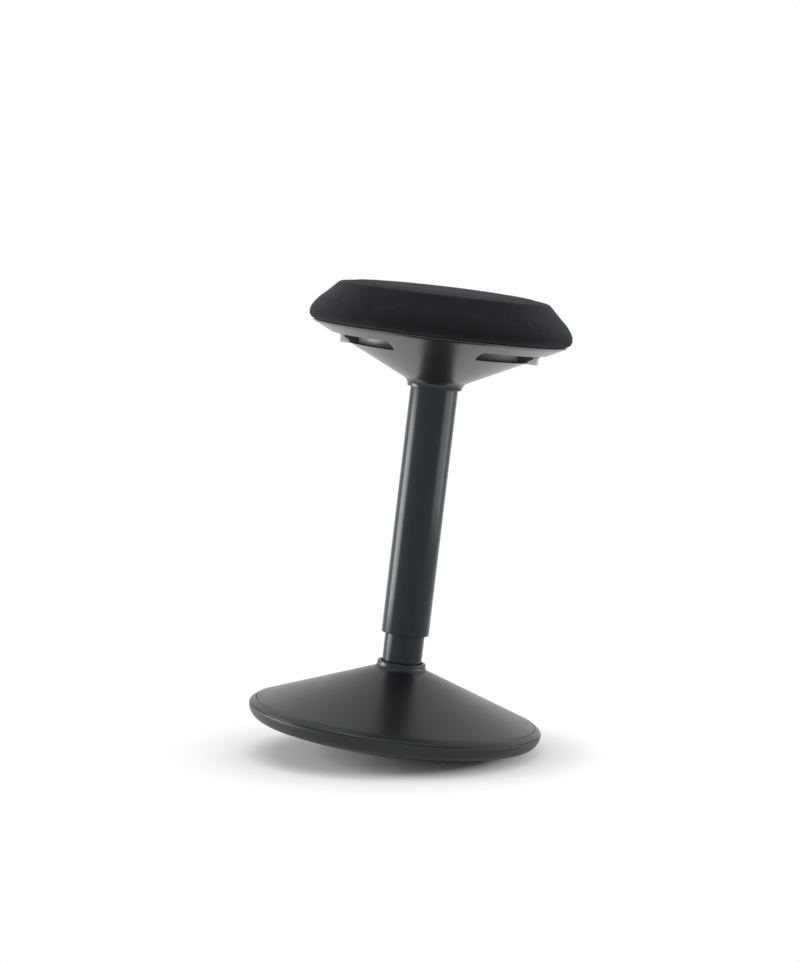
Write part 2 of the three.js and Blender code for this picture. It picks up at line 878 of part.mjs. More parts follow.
// Side outline of a lever: level at the valve, rising past the pivot to a blade in the slot,
// with a thin tongue that goes into the paddle
function leverOutline(direction) {
  const half = leverThickness / 2;
  const tipHalf = leverTipThickness / 2;
  const bladeBottom = leverTipMiddle - leverBladeThickness / 2;
  const bladeTop = leverTipMiddle + leverBladeThickness / 2;
  const elbow = leverPivotRadius + leverElbow;
  const rise = elbow + leverRiseRun;
  const tip = paddleTip(direction) - paddleWall;
  const bladeEnd = paddleTip(direction) - paddleHead - gap;
  return [
    [leverInnerRadius, pivotHeight - half],
    [elbow, pivotHeight - half],
    [rise, bladeBottom],
    [paddleSlope(direction, bladeBottom) - gap, bladeBottom],
    [bladeEnd, paddleHeadFoot(direction)],
    [bladeEnd, leverTipMiddle - tipHalf],
    [tip, leverTipMiddle - tipHalf],
    [tip, leverTipMiddle + tipHalf],
    [bladeEnd, leverTipMiddle + tipHalf],
    [bladeEnd, bladeTop],
    [rise, bladeTop],
    [elbow, pivotHeight + half],
    [leverInnerRadius, pivotHeight + half],
  ];
}

function releaseLever(direction) {
  const plate = radialPlate(direction, leverOutline(direction), leverWidth);
  const hole = crossPin(direction, leverPivotRadius, pivotHeight, pivotRadius + gap, 2 * leverWidth);
  return cut(plate, [hole]);
}

// A finger tab outside the skin, on the lever's tongue
function leverPaddle(direction) {
  const half = paddleWidth / 2;
  const tip = paddleTip(direction);
  const top = paddleBottom + paddleHeight;
  const inner = paddleSlope(direction, paddleBottom);
  const shape = new THREE.Shape();
  shape.moveTo(inner, -half);
  shape.lineTo(tip - paddleRound, -half);
  shape.absarc(tip - paddleRound, paddleRound - half, paddleRound, -Math.PI / 2, 0, false);
  shape.absarc(tip - paddleRound, half - paddleRound, paddleRound, 0, Math.PI / 2, false);
  shape.lineTo(inner, half);
  const options = { depth: paddleHeight, bevelEnabled: false, curveSegments: edgeSteps };
  const body = new THREE.ExtrudeGeometry(shape, options).translate(0, 0, paddleBottom);
  const head = tip - paddleHead;
  const below = paddleBottom - cutOverrun;
  const slope = [
    [paddleSlope(direction, below), below],
    [head, paddleHeadFoot(direction)],
    [head, top + cutOverrun],
    [paddleSlope(direction, below), top + cutOverrun],
  ];
  const pocketHalf = leverWidth / 2 + gap;
  const pocket = radialBlock(
    0,
    inner,
    tip - paddleWall + gap,
    [-pocketHalf, pocketHalf],
    leverTipMiddle - leverTipThickness / 2 - gap,
    leverTipMiddle + leverTipThickness / 2 + gap,
  );
  return cut(closed(body), [radialPlate(0, slope, 2 * paddleWidth), pocket]).rotateZ(direction);
}

const grooveTop = pivotHeight + leverThickness / 2 + capGrooveClearance;

// A spool whose groove holds the inner ends of the levers
function plungerCap() {
  return lathe(
    [
      [0, pinTop + gap],
      [capRadius, pinTop + gap],
      [capRadius, grooveBottom],
      [capNeckRadius, grooveBottom],
      [capNeckRadius, grooveTop],
      [capRadius, grooveTop],
      [capRadius, grooveTop + capDisc],
      [0, grooveTop + capDisc],
    ],
    tubeSteps,
  );
}

// Cushion

const cushionBottom = shellRimHeight + gap;

// Rings of the cushion's outer form, drawn in and lowered by a thickness
function cushionRings(thickness) {
  const side = cushionSideShares.map(([insetShare, riseShare]) => ({
    inset: cushionTopInset * insetShare + thickness,
    height: cushionBottom + cushionRise * riseShare - thickness * insetShare * Math.sign(riseShare),
    scale: 1,
  }));
  const top = cushionTopShares.map((scale) => ({
    inset: cushionTopInset + thickness,
    height: cushionBottom + cushionRise + cushionCrown * (1 - scale ** 2) - thickness,
    scale,
  }));
  return [...side, ...top];
}

function ringOf({ inset, height, scale }) {
  return planRing(inset, height, scale);
}

function fabricCover() {
  const hemInset = cushionTopInset * cushionSideShares[0][0] + hemWidth;
  const hemTop = cushionBottom + fabricThickness;
  const outer = cushionRings(0);
  const inner = cushionRings(fabricThickness).filter(({ height }) => height > hemTop);
  const rings = [
    planRing(hemInset, cushionBottom),
    ...outer.map(ringOf),
    ...inner.toReversed().map(ringOf),
    planRing(inner[0].inset + fabricThickness, hemTop),
    planRing(hemInset, hemTop),
  ];
  return loftCup(rings, outer.length + 1);
}

// A loft that turns back on itself after the given ring: closed over the middle on both faces
function loftCup(rings, turn) {
  const outerCrown = rings[turn - 1][0][2];
  const innerCrown = rings[turn][0][2];
  const count = rings[0].length;
  const points = [...rings.flat(), [0, 0, outerCrown], [0, 0, innerCrown]];
  const middle = rings.length * count;
  const index = [];
  rings.forEach((_, i) => {
    const low = i * count;
    const high = ((i + 1) % rings.length) * count;
    for (let j = 0; j < count; j += 1) {
      const next = (j + 1) % count;
      if (i === turn - 1) {
        index.push(low + j, low + next, middle, high + next, high + j, middle + 1);
      } else {
        index.push(low + j, low + next, high + next, low + j, high + next, high + j);
      }
    }
  });
  const geometry = new THREE.BufferGeometry();
  geometry.setAttribute('position', new THREE.Float32BufferAttribute(points.flat(), 3));
  geometry.setIndex(index);
  return closed(geometry);
}

function foamPad() {
  const bottom = boardTop + gap;
  const rings = cushionRings(fabricThickness + gap).filter(({ height }) => height > bottom);
  const base = { ...rings[0], height: bottom };
  return loft([base, ...rings].map(ringOf), false);
}

function seatBoard() {
  const board = loft([planRing(boardInset, boardBottom), planRing(boardInset, boardTop)], false);
  const holeTop = boardBottom + boardBoltBite + gap;
  const holes = sides.map((angle) => boltHole(angle, boardBoltRadius, boardBottom - cutOverrun, holeTop));
  return cut(board, holes);
}

// A bent strip under the board whose blade bears on the shell's wall
function shellClip(direction) {
  const footBottom = boardBottom - gap - clipBladeThickness;
  const footEnd = clipRadius + clipFootLength;
  const bladeFace = clipRadius + clipBladeThickness;
  const wallShare = (bladeFace - shellConeRadius) / (shellRadius(direction, 1) - shellConeRadius);
  const bladeBottom = coneHeight + (shellRimHeight - coneHeight) * wallShare + shellLift + gap;
  const outline = [
    [clipRadius, bladeBottom],
    [bladeFace, bladeBottom],
    [bladeFace, footBottom],
    [footEnd, footBottom],
    [footEnd, footBottom + clipBladeThickness],
    [clipRadius, footBottom + clipBladeThickness],
  ];
  return radialPlate(direction, outline, clipBladeWidth);
}

// The assembled stool

const stool = new THREE.Group();

function add(name, geometry, look) {
  const mesh = new THREE.Mesh(geometry, new THREE.MeshStandardMaterial(looks[look]));
  mesh.name = name;
  stool.add(mesh);
}

function addEach(name, directions, make, look) {
  directions.forEach((direction, i) => add(`${name}_${i + 1}`, make(direction, i), look));
}

function disc(bore, outer, bottom, height) {
  return ring(bore, outer, bottom, bottom + height, tubeSteps);
}

const hubBoltSeat = hubBottom + hubFlangeThickness + gap;
const boardBoltSeat = plateBottom - gap;
const boardBoltReach = plateThickness + gap + boardBoltBite + gap;
const raceOuter = rodBore + raceWidth;
const clipBottom = columnBottom - gap - clipHeight;
const pivotLength = 2 * (earInner + earThickness + pivotHead);

function hubBolt(direction) {
  return bolt(direction, hubBoltRadius, hubBoltSeat, hubBoltReach, false);
}

function ballastBolt(direction) {
  return bolt(direction, ballastBoltRadius, ballastTop + gap, ballastBoltBite, false);
}

function boardBolt(direction) {
  return bolt(direction, boardBoltRadius, boardBoltSeat, boardBoltReach, true);
}

function leverPivot(direction) {
  return crossPin(direction, leverPivotRadius, pivotHeight, pivotRadius, pivotLength);
}

// Pieces that stand on the floor
add('rubber_sole', rubberSole(), 'rubber');
add('base_pan', basePan(), 'nylon');
add('ballast_ring', ballastRing(), 'iron');
add('base_cover', baseCover(), 'charcoal');
add('column_hub', columnHub(), 'iron');
addEach('hub_bolt', corners, hubBolt, 'steel');
addEach('ballast_bolt', sides, ballastBolt, 'steel');
add('column_tube', columnTube(), 'tube');
add('guide_bush', guideBush(), 'nylon');
add('lower_race', disc(rodBore + gap, raceOuter, lowerRaceBottom, raceHeight), 'steel');
add('ball_cage', disc(rodBore + cageInset, raceOuter - cageInset, cageBottom, cageHeight), 'steel');

// Pieces that turn with the rod
add('upper_race', disc(rodBore, raceOuter, upperRaceBottom, raceHeight), 'steel');
add('piston_rod', pistonRod(), 'steel');
add('piston', disc(rodBore, cylinderBore - runningClearance, pistonBottom, pistonLength), 'nylon');
add('retaining_clip', disc(rodBore, rodBore + clipWidth, clipBottom, clipHeight), 'steel');

// Pieces that rise with the seat
add('gas_cylinder', gasCylinder(), 'steel');
add('outer_tube', outerTube(), 'tube');
add('glide_ring', glideRing(), 'nylon');
add('seat_frame', seatFrame(), 'iron');
add('seat_shell', seatShell(), 'charcoal');
addEach('grip_liner', slotAngles, gripLiner, 'nylon');
addEach('lever_pivot', leverAngles, leverPivot, 'steel');
addEach('shell_clip', sides, shellClip, 'steel');
addEach('board_bolt', sides, boardBolt, 'steel');
add('seat_board', seatBoard(), 'wood');
add('foam_pad', foamPad(), 'foam');
add('fabric_cover', fabricCover(), 'knit');

// Pieces that move when the seat is released
addEach('release_lever', leverAngles, releaseLever, 'nylon');
addEach('lever_paddle', leverAngles, leverPaddle, 'offWhite');
add('valve_pin', rod(pinRadius, cylinderTop - pinDepth, pinTop, smallSteps), 'steel');
add('plunger_cap', plungerCap(), 'nylon');

export default stool;
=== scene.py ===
"""Wobble stool: fine surfaces and finishes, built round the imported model.

Metres, +Z up, in the model's own frame. The stool stands upright at its lowest height.
The camera and the floor are leaned over together, so that the picture shows the stool rolled
to one side on its domed base.
"""

import json
import math

import bpy
from mathutils import Matrix, Vector


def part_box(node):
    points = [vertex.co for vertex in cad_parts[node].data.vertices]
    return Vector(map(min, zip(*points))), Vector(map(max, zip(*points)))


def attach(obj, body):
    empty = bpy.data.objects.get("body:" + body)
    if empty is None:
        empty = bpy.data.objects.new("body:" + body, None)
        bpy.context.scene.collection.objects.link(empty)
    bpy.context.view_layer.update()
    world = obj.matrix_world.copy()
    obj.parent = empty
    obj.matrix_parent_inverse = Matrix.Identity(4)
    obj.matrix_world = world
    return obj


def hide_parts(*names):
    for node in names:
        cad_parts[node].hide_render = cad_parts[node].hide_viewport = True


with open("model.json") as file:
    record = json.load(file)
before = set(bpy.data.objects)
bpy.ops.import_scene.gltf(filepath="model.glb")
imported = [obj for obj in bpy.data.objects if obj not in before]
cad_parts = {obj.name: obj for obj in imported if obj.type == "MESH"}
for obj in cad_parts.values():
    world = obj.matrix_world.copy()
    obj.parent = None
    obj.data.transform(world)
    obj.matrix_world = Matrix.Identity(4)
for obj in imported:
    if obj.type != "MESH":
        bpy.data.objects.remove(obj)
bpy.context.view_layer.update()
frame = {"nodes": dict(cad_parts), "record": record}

MM = 0.001

# View: the camera's distance, height, focal length, dip and turn, then the stool's lean and turn
VIEW_DISTANCE = 3.680
VIEW_HEIGHT = 0.7045
VIEW_LENS = 110.0
VIEW_DIP = 0.0991
VIEW_TURN = -0.0079
LEAN = 0.118
SEAT_TURN = math.radians(2.5)

# Light: the world's level on the stool, and the height that the lamps face
WORLD_LEVEL = 0.44
LAMP_TARGET = 0.3

# Floor: it fades to plain white between two distances from a point left of the contact
FLOOR_RADIUS = 1.2
FADE_SHIFT = 0.085
FADE_START = 0.14
FADE_END = 0.28

# Merging distance, and the small roundings of moulded edges
MERGE = 0.01 * MM
EDGE_ROUND = 0.5 * MM
TAB_EDGE_ROUND = 0.7 * MM

# The shell's polish at the neck and on the skin, and the heights between which it grows
NECK_POLISH = 0.3
SKIN_POLISH = 1.0
POLISH_HEIGHTS = (0.463, 0.472)

# Seat plan: three round corners joined by bowed sides
CORNER_REACH = 45 * MM
CORNER_RADIUS = 126 * MM
CORNER_HALF_ANGLE = math.radians(34)
CORNER_STEPS = 30
SIDE_STEPS = 34
THIRD = math.radians(120)
REAR = math.radians(90)

# Base
DOME_RADIUS = 650 * MM
REST_RADIUS = 40 * MM
SOLE_EDGE = 18 * MM
SOLE_WALL = 10 * MM
SOLE_THICKNESS = 6 * MM
CREASE = 1.2 * MM
PAN_WALL = 3.5 * MM
PAN_LEDGE = 7 * MM
PAN_LIP_EDGE = 0.9 * MM
PAN_FLOOR_RADIUS = 64 * MM
PAN_FLOOR_RISE = 9 * MM
LEDGE_DEPTH = 4 * MM
COVER_RIM = 4 * MM
COVER_WALL = 2.7 * MM
COLLAR_WALL = 3.95 * MM
COLLAR_FLARE = 5.3 * MM
COLLAR_DEPTH = 10.2 * MM
COLLAR_GAP = 1.75 * MM
GAP = 0.3 * MM
GROOVE = 0.6 * MM
ROUND_STEPS = 192

# Column and seat shell
TUBE_STEPS = 96
TUBE_WALL = 2 * MM
COLUMN_FLOOR = 4 * MM
ROD_BORE = 5.3 * MM
SHELL_WALL = 1.9 * MM
SHELL_LIFT = 3.6 * MM
SHELL_CONE_RADIUS = 41.6 * MM
SHELL_CONE_RISE = 12.5 * MM
SHELL_NECK_WALL = 2 * MM
NECK_TURN = math.radians(65)
SKIN_ROWS = 14
RIM_INSET = 6.5 * MM
SLOT_HALF_ANGLE = math.radians(40.3)
SLOT_HEIGHT = 11 * MM
SLOT_ROUND = 5.3 * MM
SLOT_INNER_RADIUS = 60 * MM
SLOT_DROP = 24.7 * MM
SLOT_ANGLES = [math.radians(angle) for angle in (90, 204, 336)]
LEVER_ANGLES = [math.radians(angle) for angle in (90, 180, 0)]
LINER_WALL = 2 * MM
LINER_SHARE = 0.508
LINER_HALF_ANGLE = math.radians(43)
WINDOW_HALF_WIDTH = 22 * MM
WINDOW_PLACE = 100 * MM
WINDOW_DEPTH = 80 * MM

# Release tab
TAB_REACH = 7.4 * MM
TAB_WIDTH = 22 * MM
TAB_HEAD = 7.5 * MM
TAB_CLEARANCE = 0.7 * MM
TAB_ROUND = 3.2 * MM

# Cushion
CUSHION_RISE = 51.3 * MM
CUSHION_CROWN = 2.4 * MM
TOP_INSET = 38 * MM
WIDEST_BAND = 0.6 * MM
COVER_THICKNESS = 1.4 * MM
SWELL = 0.8 * MM
SWELL_FRAMES = 20
PRESSURE = 4.0
HELD_SHARE = 0.26
REMESH_SIZE = 3.9 * MM
HEM_WIDTH = 28 * MM
SLANT_SHARE = 0.8


# Making meshes by hand

def leave_edit():
    if bpy.context.object and bpy.context.object.mode != "OBJECT":
        bpy.ops.object.mode_set(mode="OBJECT")


def pick(piece):
    """Makes a piece the only one that is selected."""
    leave_edit()
    bpy.ops.object.select_all(action="DESELECT")
    piece.select_set(True)
    bpy.context.view_layer.objects.active = piece


def edit(piece, select="VERT"):
    pick(piece)
    bpy.ops.object.mode_set(mode="EDIT")
    bpy.ops.mesh.select_mode(type=select)
    bpy.ops.mesh.select_all(action="DESELECT")


def select_vertices(piece, wanted):
    """Selects the vertices whose place passes a test."""
    bpy.ops.object.mode_set(mode="OBJECT")
    for vertex in piece.data.vertices:
        vertex.select = bool(wanted(vertex.co))
    bpy.ops.object.mode_set(mode="EDIT")


def select_edges(piece, wanted):
    """Selects the edges whose two ends pass a test."""
    bpy.ops.mesh.select_mode(type="EDGE")
    bpy.ops.mesh.select_all(action="DESELECT")
    bpy.ops.object.mode_set(mode="OBJECT")
    points = piece.data.vertices
    for line in piece.data.edges:
        line.select = bool(wanted(points[line.vertices[0]].co, points[line.vertices[1]].co))
    bpy.ops.object.mode_set(mode="EDIT")


def select_faces(piece, wanted):
    """Selects the faces whose centre and normal pass a test."""
    bpy.ops.mesh.select_mode(type="FACE")
    bpy.ops.mesh.select_all(action="DESELECT")
    bpy.ops.object.mode_set(mode="OBJECT")
    for face in piece.data.polygons:
        face.select = bool(wanted(face.center, face.normal))
    bpy.ops.object.mode_set(mode="EDIT")


def add_point(place):
    """Adds one vertex to the mesh in edit mode and leaves it selected."""
    bpy.ops.mesh.select_all(action="DESELECT")
    bpy.ops.mesh.primitive_plane_add(size=MM, location=(0, 0, 0))
    bpy.ops.mesh.merge(type="CENTER")
    bpy.ops.transform.translate(value=place)


def start_point(name, place):
    """Starts a piece as one vertex, in edit mode."""
    leave_edit()
    bpy.ops.object.select_all(action="DESELECT")
    bpy.ops.mesh.primitive_plane_add(size=MM, location=(0, 0, 0))
    piece = bpy.context.object
    piece.name = name
    piece.data.name = name
    bpy.ops.object.mode_set(mode="EDIT")
    bpy.ops.mesh.select_mode(type="VERT")
    bpy.ops.mesh.select_all(action="SELECT")
    bpy.ops.mesh.merge(type="CENTER")
    bpy.ops.transform.translate(value=place)
    return piece


def draw(places):
    """Extrudes the selected vertex along a row of places."""
    for here, there in zip(places, places[1:]):
        step = Vector(there) - Vector(here)
        bpy.ops.mesh.extrude_region_move(TRANSFORM_OT_translate={"value": step})


def merge_doubles():
    bpy.ops.mesh.select_all(action="SELECT")
    bpy.ops.mesh.remove_doubles(threshold=MERGE)


def close_up():
    """Merges doubled vertices and turns the faces of a closed form outwards."""
    merge_doubles()
    bpy.ops.mesh.normals_make_consistent(inside=False)


def start_face(name, outline):
    """Starts a piece as one face inside an outline, in edit mode."""
    piece = start_point(name, outline[0])
    draw([*outline, outline[0]])
    merge_doubles()
    bpy.ops.mesh.select_all(action="SELECT")
    bpy.ops.mesh.edge_face_add()
    return piece


def flip(piece):
    """Turns all the faces of an open sheet round."""
    edit(piece, "FACE")
    bpy.ops.mesh.select_all(action="SELECT")
    bpy.ops.mesh.flip_normals()
    leave_edit()


def turned(name, profile, steps=ROUND_STEPS):
    """Spins a closed profile of (radius, height) rows round the Z axis."""
    places = [(radius, 0, height) for radius, height in profile]
    if profile[0][0] > 0:
        places.append(places[0])
    piece = start_point(name, places[0])
    draw(places)
    bpy.ops.mesh.select_all(action="SELECT")
    bpy.ops.mesh.spin(steps=steps, angle=math.tau, center=(0, 0, 0), axis=(0, 0, 1))
    close_up()
    leave_edit()
    return piece


def rounded(corners, steps=4):
    """Rounds the corners of an outline: each row is (radius, height, size of the rounding)."""
    rows = []
    count = len(corners)
    for i, (radius, height, size) in enumerate(corners):
        here = Vector((radius, height))
        if not size:
            rows.append((radius, height))
            continue
        to_last = (Vector(corners[i - 1][:2]) - here).normalized()
        to_next = (Vector(corners[(i + 1) % count][:2]) - here).normalized()
        half = to_last.angle(to_next) / 2
        reach = size / math.tan(half)
        centre = here + (to_last + to_next).normalized() * (size / math.sin(half))
        start = here + to_last * reach - centre
        end = here + to_next * reach - centre
        for k in range(steps + 1):
            spoke = start.normalized().slerp(end.normalized(), k / steps)
            rows.append(tuple(centre + spoke * size))
    return rows


def modify(piece, kind, **settings):
    """Adds a modifier and applies it."""
    pick(piece)
    modifier = piece.modifiers.new(kind.lower(), kind)
    for name, value in settings.items():
        setattr(modifier, name, value)
    bpy.ops.object.modifier_apply(modifier=modifier.name)


def smooth(piece, angle=40):
    pick(piece)
    bpy.ops.object.shade_smooth_by_angle(angle=math.radians(angle))


def soften(piece, width, segments, angle):
    """Rounds the edges that are sharper than an angle."""
    modify(
        piece, "BEVEL", width=width, segments=segments, limit_method="ANGLE", angle_limit=math.radians(angle)
    )


def cut(piece, cutter):
    modify(piece, "BOOLEAN", object=cutter, operation="DIFFERENCE", solver="EXACT")
    bpy.data.objects.remove(cutter)


def turn_about_axis(piece, angle):
    """Turns a piece's mesh about the Z axis, counter-clockwise from above."""
    edit(piece)
    bpy.ops.mesh.select_all(action="SELECT")
    bpy.ops.transform.rotate(value=-angle, orient_axis="Z", center_override=(0, 0, 0))
    leave_edit()


def copy_turned(piece, name, angle):
    """A copy with a mesh of its own, turned about the Z axis."""
    copy = piece.copy()
    copy.data = piece.data.copy()
    copy.name = name
    copy.data.name = name
    bpy.context.collection.objects.link(copy)
    turn_about_axis(copy, angle)
    return copy


# Seat plan

SIDE_HALF_ANGLE = THIRD / 2 - CORNER_HALF_ANGLE
SIDE_CENTRE = CORNER_REACH * math.sin(CORNER_HALF_ANGLE) / math.sin(SIDE_HALF_ANGLE)
SIDE_RADIUS = (
    CORNER_REACH * math.cos(CORNER_HALF_ANGLE) + CORNER_RADIUS + SIDE_CENTRE * math.cos(SIDE_HALF_ANGLE)
)


def toward(angle, distance, height=0.0):
    return Vector((math.cos(angle) * distance, math.sin(angle) * distance, height))


def plan_loop(name, inset, height):
    """Draws the seat's plan as a loop of edges: an arc at each corner and one along each side."""
    first = toward(REAR, CORNER_REACH, height) + toward(REAR - CORNER_HALF_ANGLE, CORNER_RADIUS - inset)
    piece = start_point(name, first)
    for i in range(3):
        corner = REAR + i * THIRD
        side = corner + THIRD / 2
        bpy.ops.mesh.spin(
            steps=CORNER_STEPS,
            angle=-2 * CORNER_HALF_ANGLE,
            center=toward(corner, CORNER_REACH, height),
            axis=(0, 0, 1),
        )
        bpy.ops.mesh.spin(
            steps=SIDE_STEPS,
            angle=-2 * SIDE_HALF_ANGLE,
            center=toward(side, -SIDE_CENTRE, height),
            axis=(0, 0, 1),
        )
    merge_doubles()
    bpy.ops.mesh.select_all(action="SELECT")
    return piece


def plan_radius(angle, inset):
    """Distance from the axis to the plan's edge."""
    turn = abs((angle - REAR + THIRD / 2) % THIRD - THIRD / 2)
    radius = CORNER_RADIUS - inset
    join = math.atan2(
        radius * math.sin(CORNER_HALF_ANGLE), CORNER_REACH + radius * math.cos(CORNER_HALF_ANGLE)
    )
    if turn <= join:
        return arc_reach(CORNER_REACH, radius, turn)
    return arc_reach(-SIDE_CENTRE, SIDE_RADIUS - inset, THIRD / 2 - turn)


def arc_reach(centre, radius, angle):
    return centre * math.cos(angle) + math.sqrt(radius**2 - (centre * math.sin(angle)) ** 2)


# Node helpers

def add_node(tree, kind, **settings):
    made = tree.nodes.new(kind)
    for name, value in settings.items():
        setattr(made, name, value)
    return made


def connect(tree, source, socket):
    """Puts a value or another node's output into a socket."""
    if isinstance(source, bpy.types.NodeSocket):
        tree.links.new(source, socket)
    else:
        socket.default_value = source


def calculate(tree, operation, *inputs):
    made = add_node(tree, "ShaderNodeMath", operation=operation)
    for source, socket in zip(inputs, made.inputs):
        connect(tree, source, socket)
    return made.outputs[0]


def noise(tree, vector, scale, detail=2.0, roughness=0.5):
    made = add_node(tree, "ShaderNodeTexNoise")
    connect(tree, vector, made.inputs["Vector"])
    connect(tree, scale, made.inputs["Scale"])
    made.inputs["Detail"].default_value = detail
    made.inputs["Roughness"].default_value = roughness
    return made.outputs[0]


def spread(tree, value, low, high, to_low=0.0, to_high=1.0):
    """Stretches a range of values to another one, and clips it."""
    made = add_node(tree, "ShaderNodeMapRange")
    for source, socket in zip((value, low, high, to_low, to_high), made.inputs):
        connect(tree, source, socket)
    return made.outputs[0]


def new_group(name, inputs, outputs):
    """A node group with named sockets: each input has a default, and a vector input has None."""
    tree = bpy.data.node_groups.new(name, "ShaderNodeTree")
    for label, default in inputs.items():
        kind = "NodeSocketVector" if default is None else "NodeSocketFloat"
        socket = tree.interface.new_socket(label, in_out="INPUT", socket_type=kind)
        if default is not None:
            socket.default_value = default
    for label in outputs:
        tree.interface.new_socket(label, in_out="OUTPUT", socket_type="NodeSocketFloat")
    source = tree.nodes.new("NodeGroupInput").outputs
    sink = tree.nodes.new("NodeGroupOutput").inputs
    return tree, source, sink


def moulded_grain_group():
    """Fine pebble grain of a moulded surface, with slow changes of gloss over it."""
    tree, given, result = new_group(
        "moulded_grain", {"Vector": None, "Grain scale": 1400.0, "Blotch scale": 14.0}, ["Height", "Blotch"]
    )
    cells = add_node(tree, "ShaderNodeTexVoronoi", feature="SMOOTH_F1")
    connect(tree, given["Vector"], cells.inputs["Vector"])
    connect(tree, given["Grain scale"], cells.inputs["Scale"])
    fine = noise(tree, given["Vector"], calculate(tree, "MULTIPLY", given["Grain scale"], 0.6), 3.0)
    height = calculate(tree, "ADD", calculate(tree, "MULTIPLY", cells.outputs["Distance"], 0.6), fine)
    blotch = noise(tree, given["Vector"], given["Blotch scale"], 4.0, 0.6)
    connect(tree, height, result["Height"])
    connect(tree, spread(tree, blotch, 0.3, 0.7), result["Blotch"])
    return tree


def knit_group():
    """Rows of small knitted stitches: each column is a chain of V shapes."""
    tree, given, result = new_group(
        "knit_stitches",
        {"Vector": None, "Stitch width": 1.5 * MM, "Stitch height": 1.1 * MM},
        ["Height", "Gap shade", "Yarn tone"],
    )
    parts = add_node(tree, "ShaderNodeSeparateXYZ")
    connect(tree, given["Vector"], parts.inputs[0])
    wobble = noise(tree, given["Vector"], 90.0, 2.0)
    shift = calculate(tree, "MULTIPLY", calculate(tree, "SUBTRACT", wobble, 0.5), 0.5)
    column = calculate(tree, "DIVIDE", parts.outputs["X"], given["Stitch width"])
    row = calculate(tree, "ADD", calculate(tree, "DIVIDE", parts.outputs["Y"], given["Stitch height"]), shift)
    across = calculate(tree, "ABSOLUTE", calculate(tree, "SUBTRACT", calculate(tree, "FRACT", column), 0.5))
    slanted = calculate(tree, "ADD", row, calculate(tree, "MULTIPLY", across, 1.6))
    wave = calculate(tree, "SINE", calculate(tree, "MULTIPLY", slanted, math.tau))
    legs = calculate(tree, "SINE", calculate(tree, "MULTIPLY", across, math.tau))
    bead = calculate(tree, "MULTIPLY", calculate(tree, "MULTIPLY_ADD", wave, 0.5, 0.5), legs)
    fuzz = noise(tree, given["Vector"], 2600.0, 2.0)
    connect(tree, calculate(tree, "MULTIPLY_ADD", fuzz, 0.25, bead), result["Height"])
    # Gap shade: a mask on the hollows between the stitches, where shade is painted into the colour
    connect(tree, spread(tree, bead, 0.05, 0.35, 1.0, 0.0), result["Gap shade"])
    tone = noise(tree, given["Vector"], 35.0, 3.0)
    connect(tree, spread(tree, tone, 0.3, 0.7), result["Yarn tone"])
    return tree


def brushed_group():
    """Fine lines left by turning or grinding, running round the Z axis."""
    tree, given, result = new_group("turned_lines", {"Vector": None, "Line scale": 900.0}, ["Height", "Tone"])
    stretch = add_node(tree, "ShaderNodeMapping")
    connect(tree, given["Vector"], stretch.inputs["Vector"])
    stretch.inputs["Scale"].default_value = (0.02, 0.02, 1.0)
    lines = noise(tree, stretch.outputs[0], given["Line scale"], 3.0, 0.7)
    tone = noise(tree, given["Vector"], 40.0, 3.0)
    connect(tree, lines, result["Height"])
    connect(tree, spread(tree, tone, 0.3, 0.7), result["Tone"])
    return tree


GRAIN = moulded_grain_group()
KNIT = knit_group()
TURNED_LINES = brushed_group()


class Finish:
    """A material being made: its tree, its shader and its own coordinates."""

    def __init__(self, name, coordinates="Object", **sockets):
        self.material = bpy.data.materials.new(name)
        self.material.use_nodes = True
        self.tree = self.material.node_tree
        self.shader = self.tree.nodes["Principled BSDF"]
        self.vector = add_node(self.tree, "ShaderNodeTexCoord").outputs[coordinates]
        for label, value in sockets.items():
            self.shader.inputs[label.replace("_", " ")].default_value = value

    def pattern(self, group, **values):
        made = add_node(self.tree, "ShaderNodeGroup", node_tree=group)
        connect(self.tree, self.vector, made.inputs["Vector"])
        for label, value in values.items():
            made.inputs[label.replace("_", " ")].default_value = value
        return made.outputs

    def colour(self, mask, low, high):
        """Mixes two colours over the surface."""
        made = add_node(self.tree, "ShaderNodeMix", data_type="RGBA")
        connect(self.tree, mask, made.inputs["Factor"])
        made.inputs[6].default_value = (*low, 1)
        made.inputs[7].default_value = (*high, 1)
        return made.outputs[2]

    def paint(self, mask, low, high):
        connect(self.tree, self.colour(mask, low, high), self.shader.inputs["Base Color"])

    def roughen(self, mask, low, high):
        value = spread(self.tree, mask, 0.0, 1.0, low, high)
        connect(self.tree, value, self.shader.inputs["Roughness"])

    def emboss(self, height, distance, strength=1.0):
        bump = add_node(self.tree, "ShaderNodeBump")
        bump.inputs["Strength"].default_value = strength
        bump.inputs["Distance"].default_value = distance
        connect(self.tree, height, bump.inputs["Height"])
        connect(self.tree, bump.outputs[0], self.shader.inputs["Normal"])


def grained(name, low, high, roughness, grain, depth, blotch=14.0, **sockets):
    """A moulded or coated surface with pebble grain."""
    finish = Finish(name, **sockets)
    pattern = finish.pattern(GRAIN, Grain_scale=grain, Blotch_scale=blotch)
    finish.paint(pattern["Blotch"], low, high)
    finish.roughen(pattern["Blotch"], *roughness)
    finish.emboss(pattern["Height"], depth)
    return finish.material


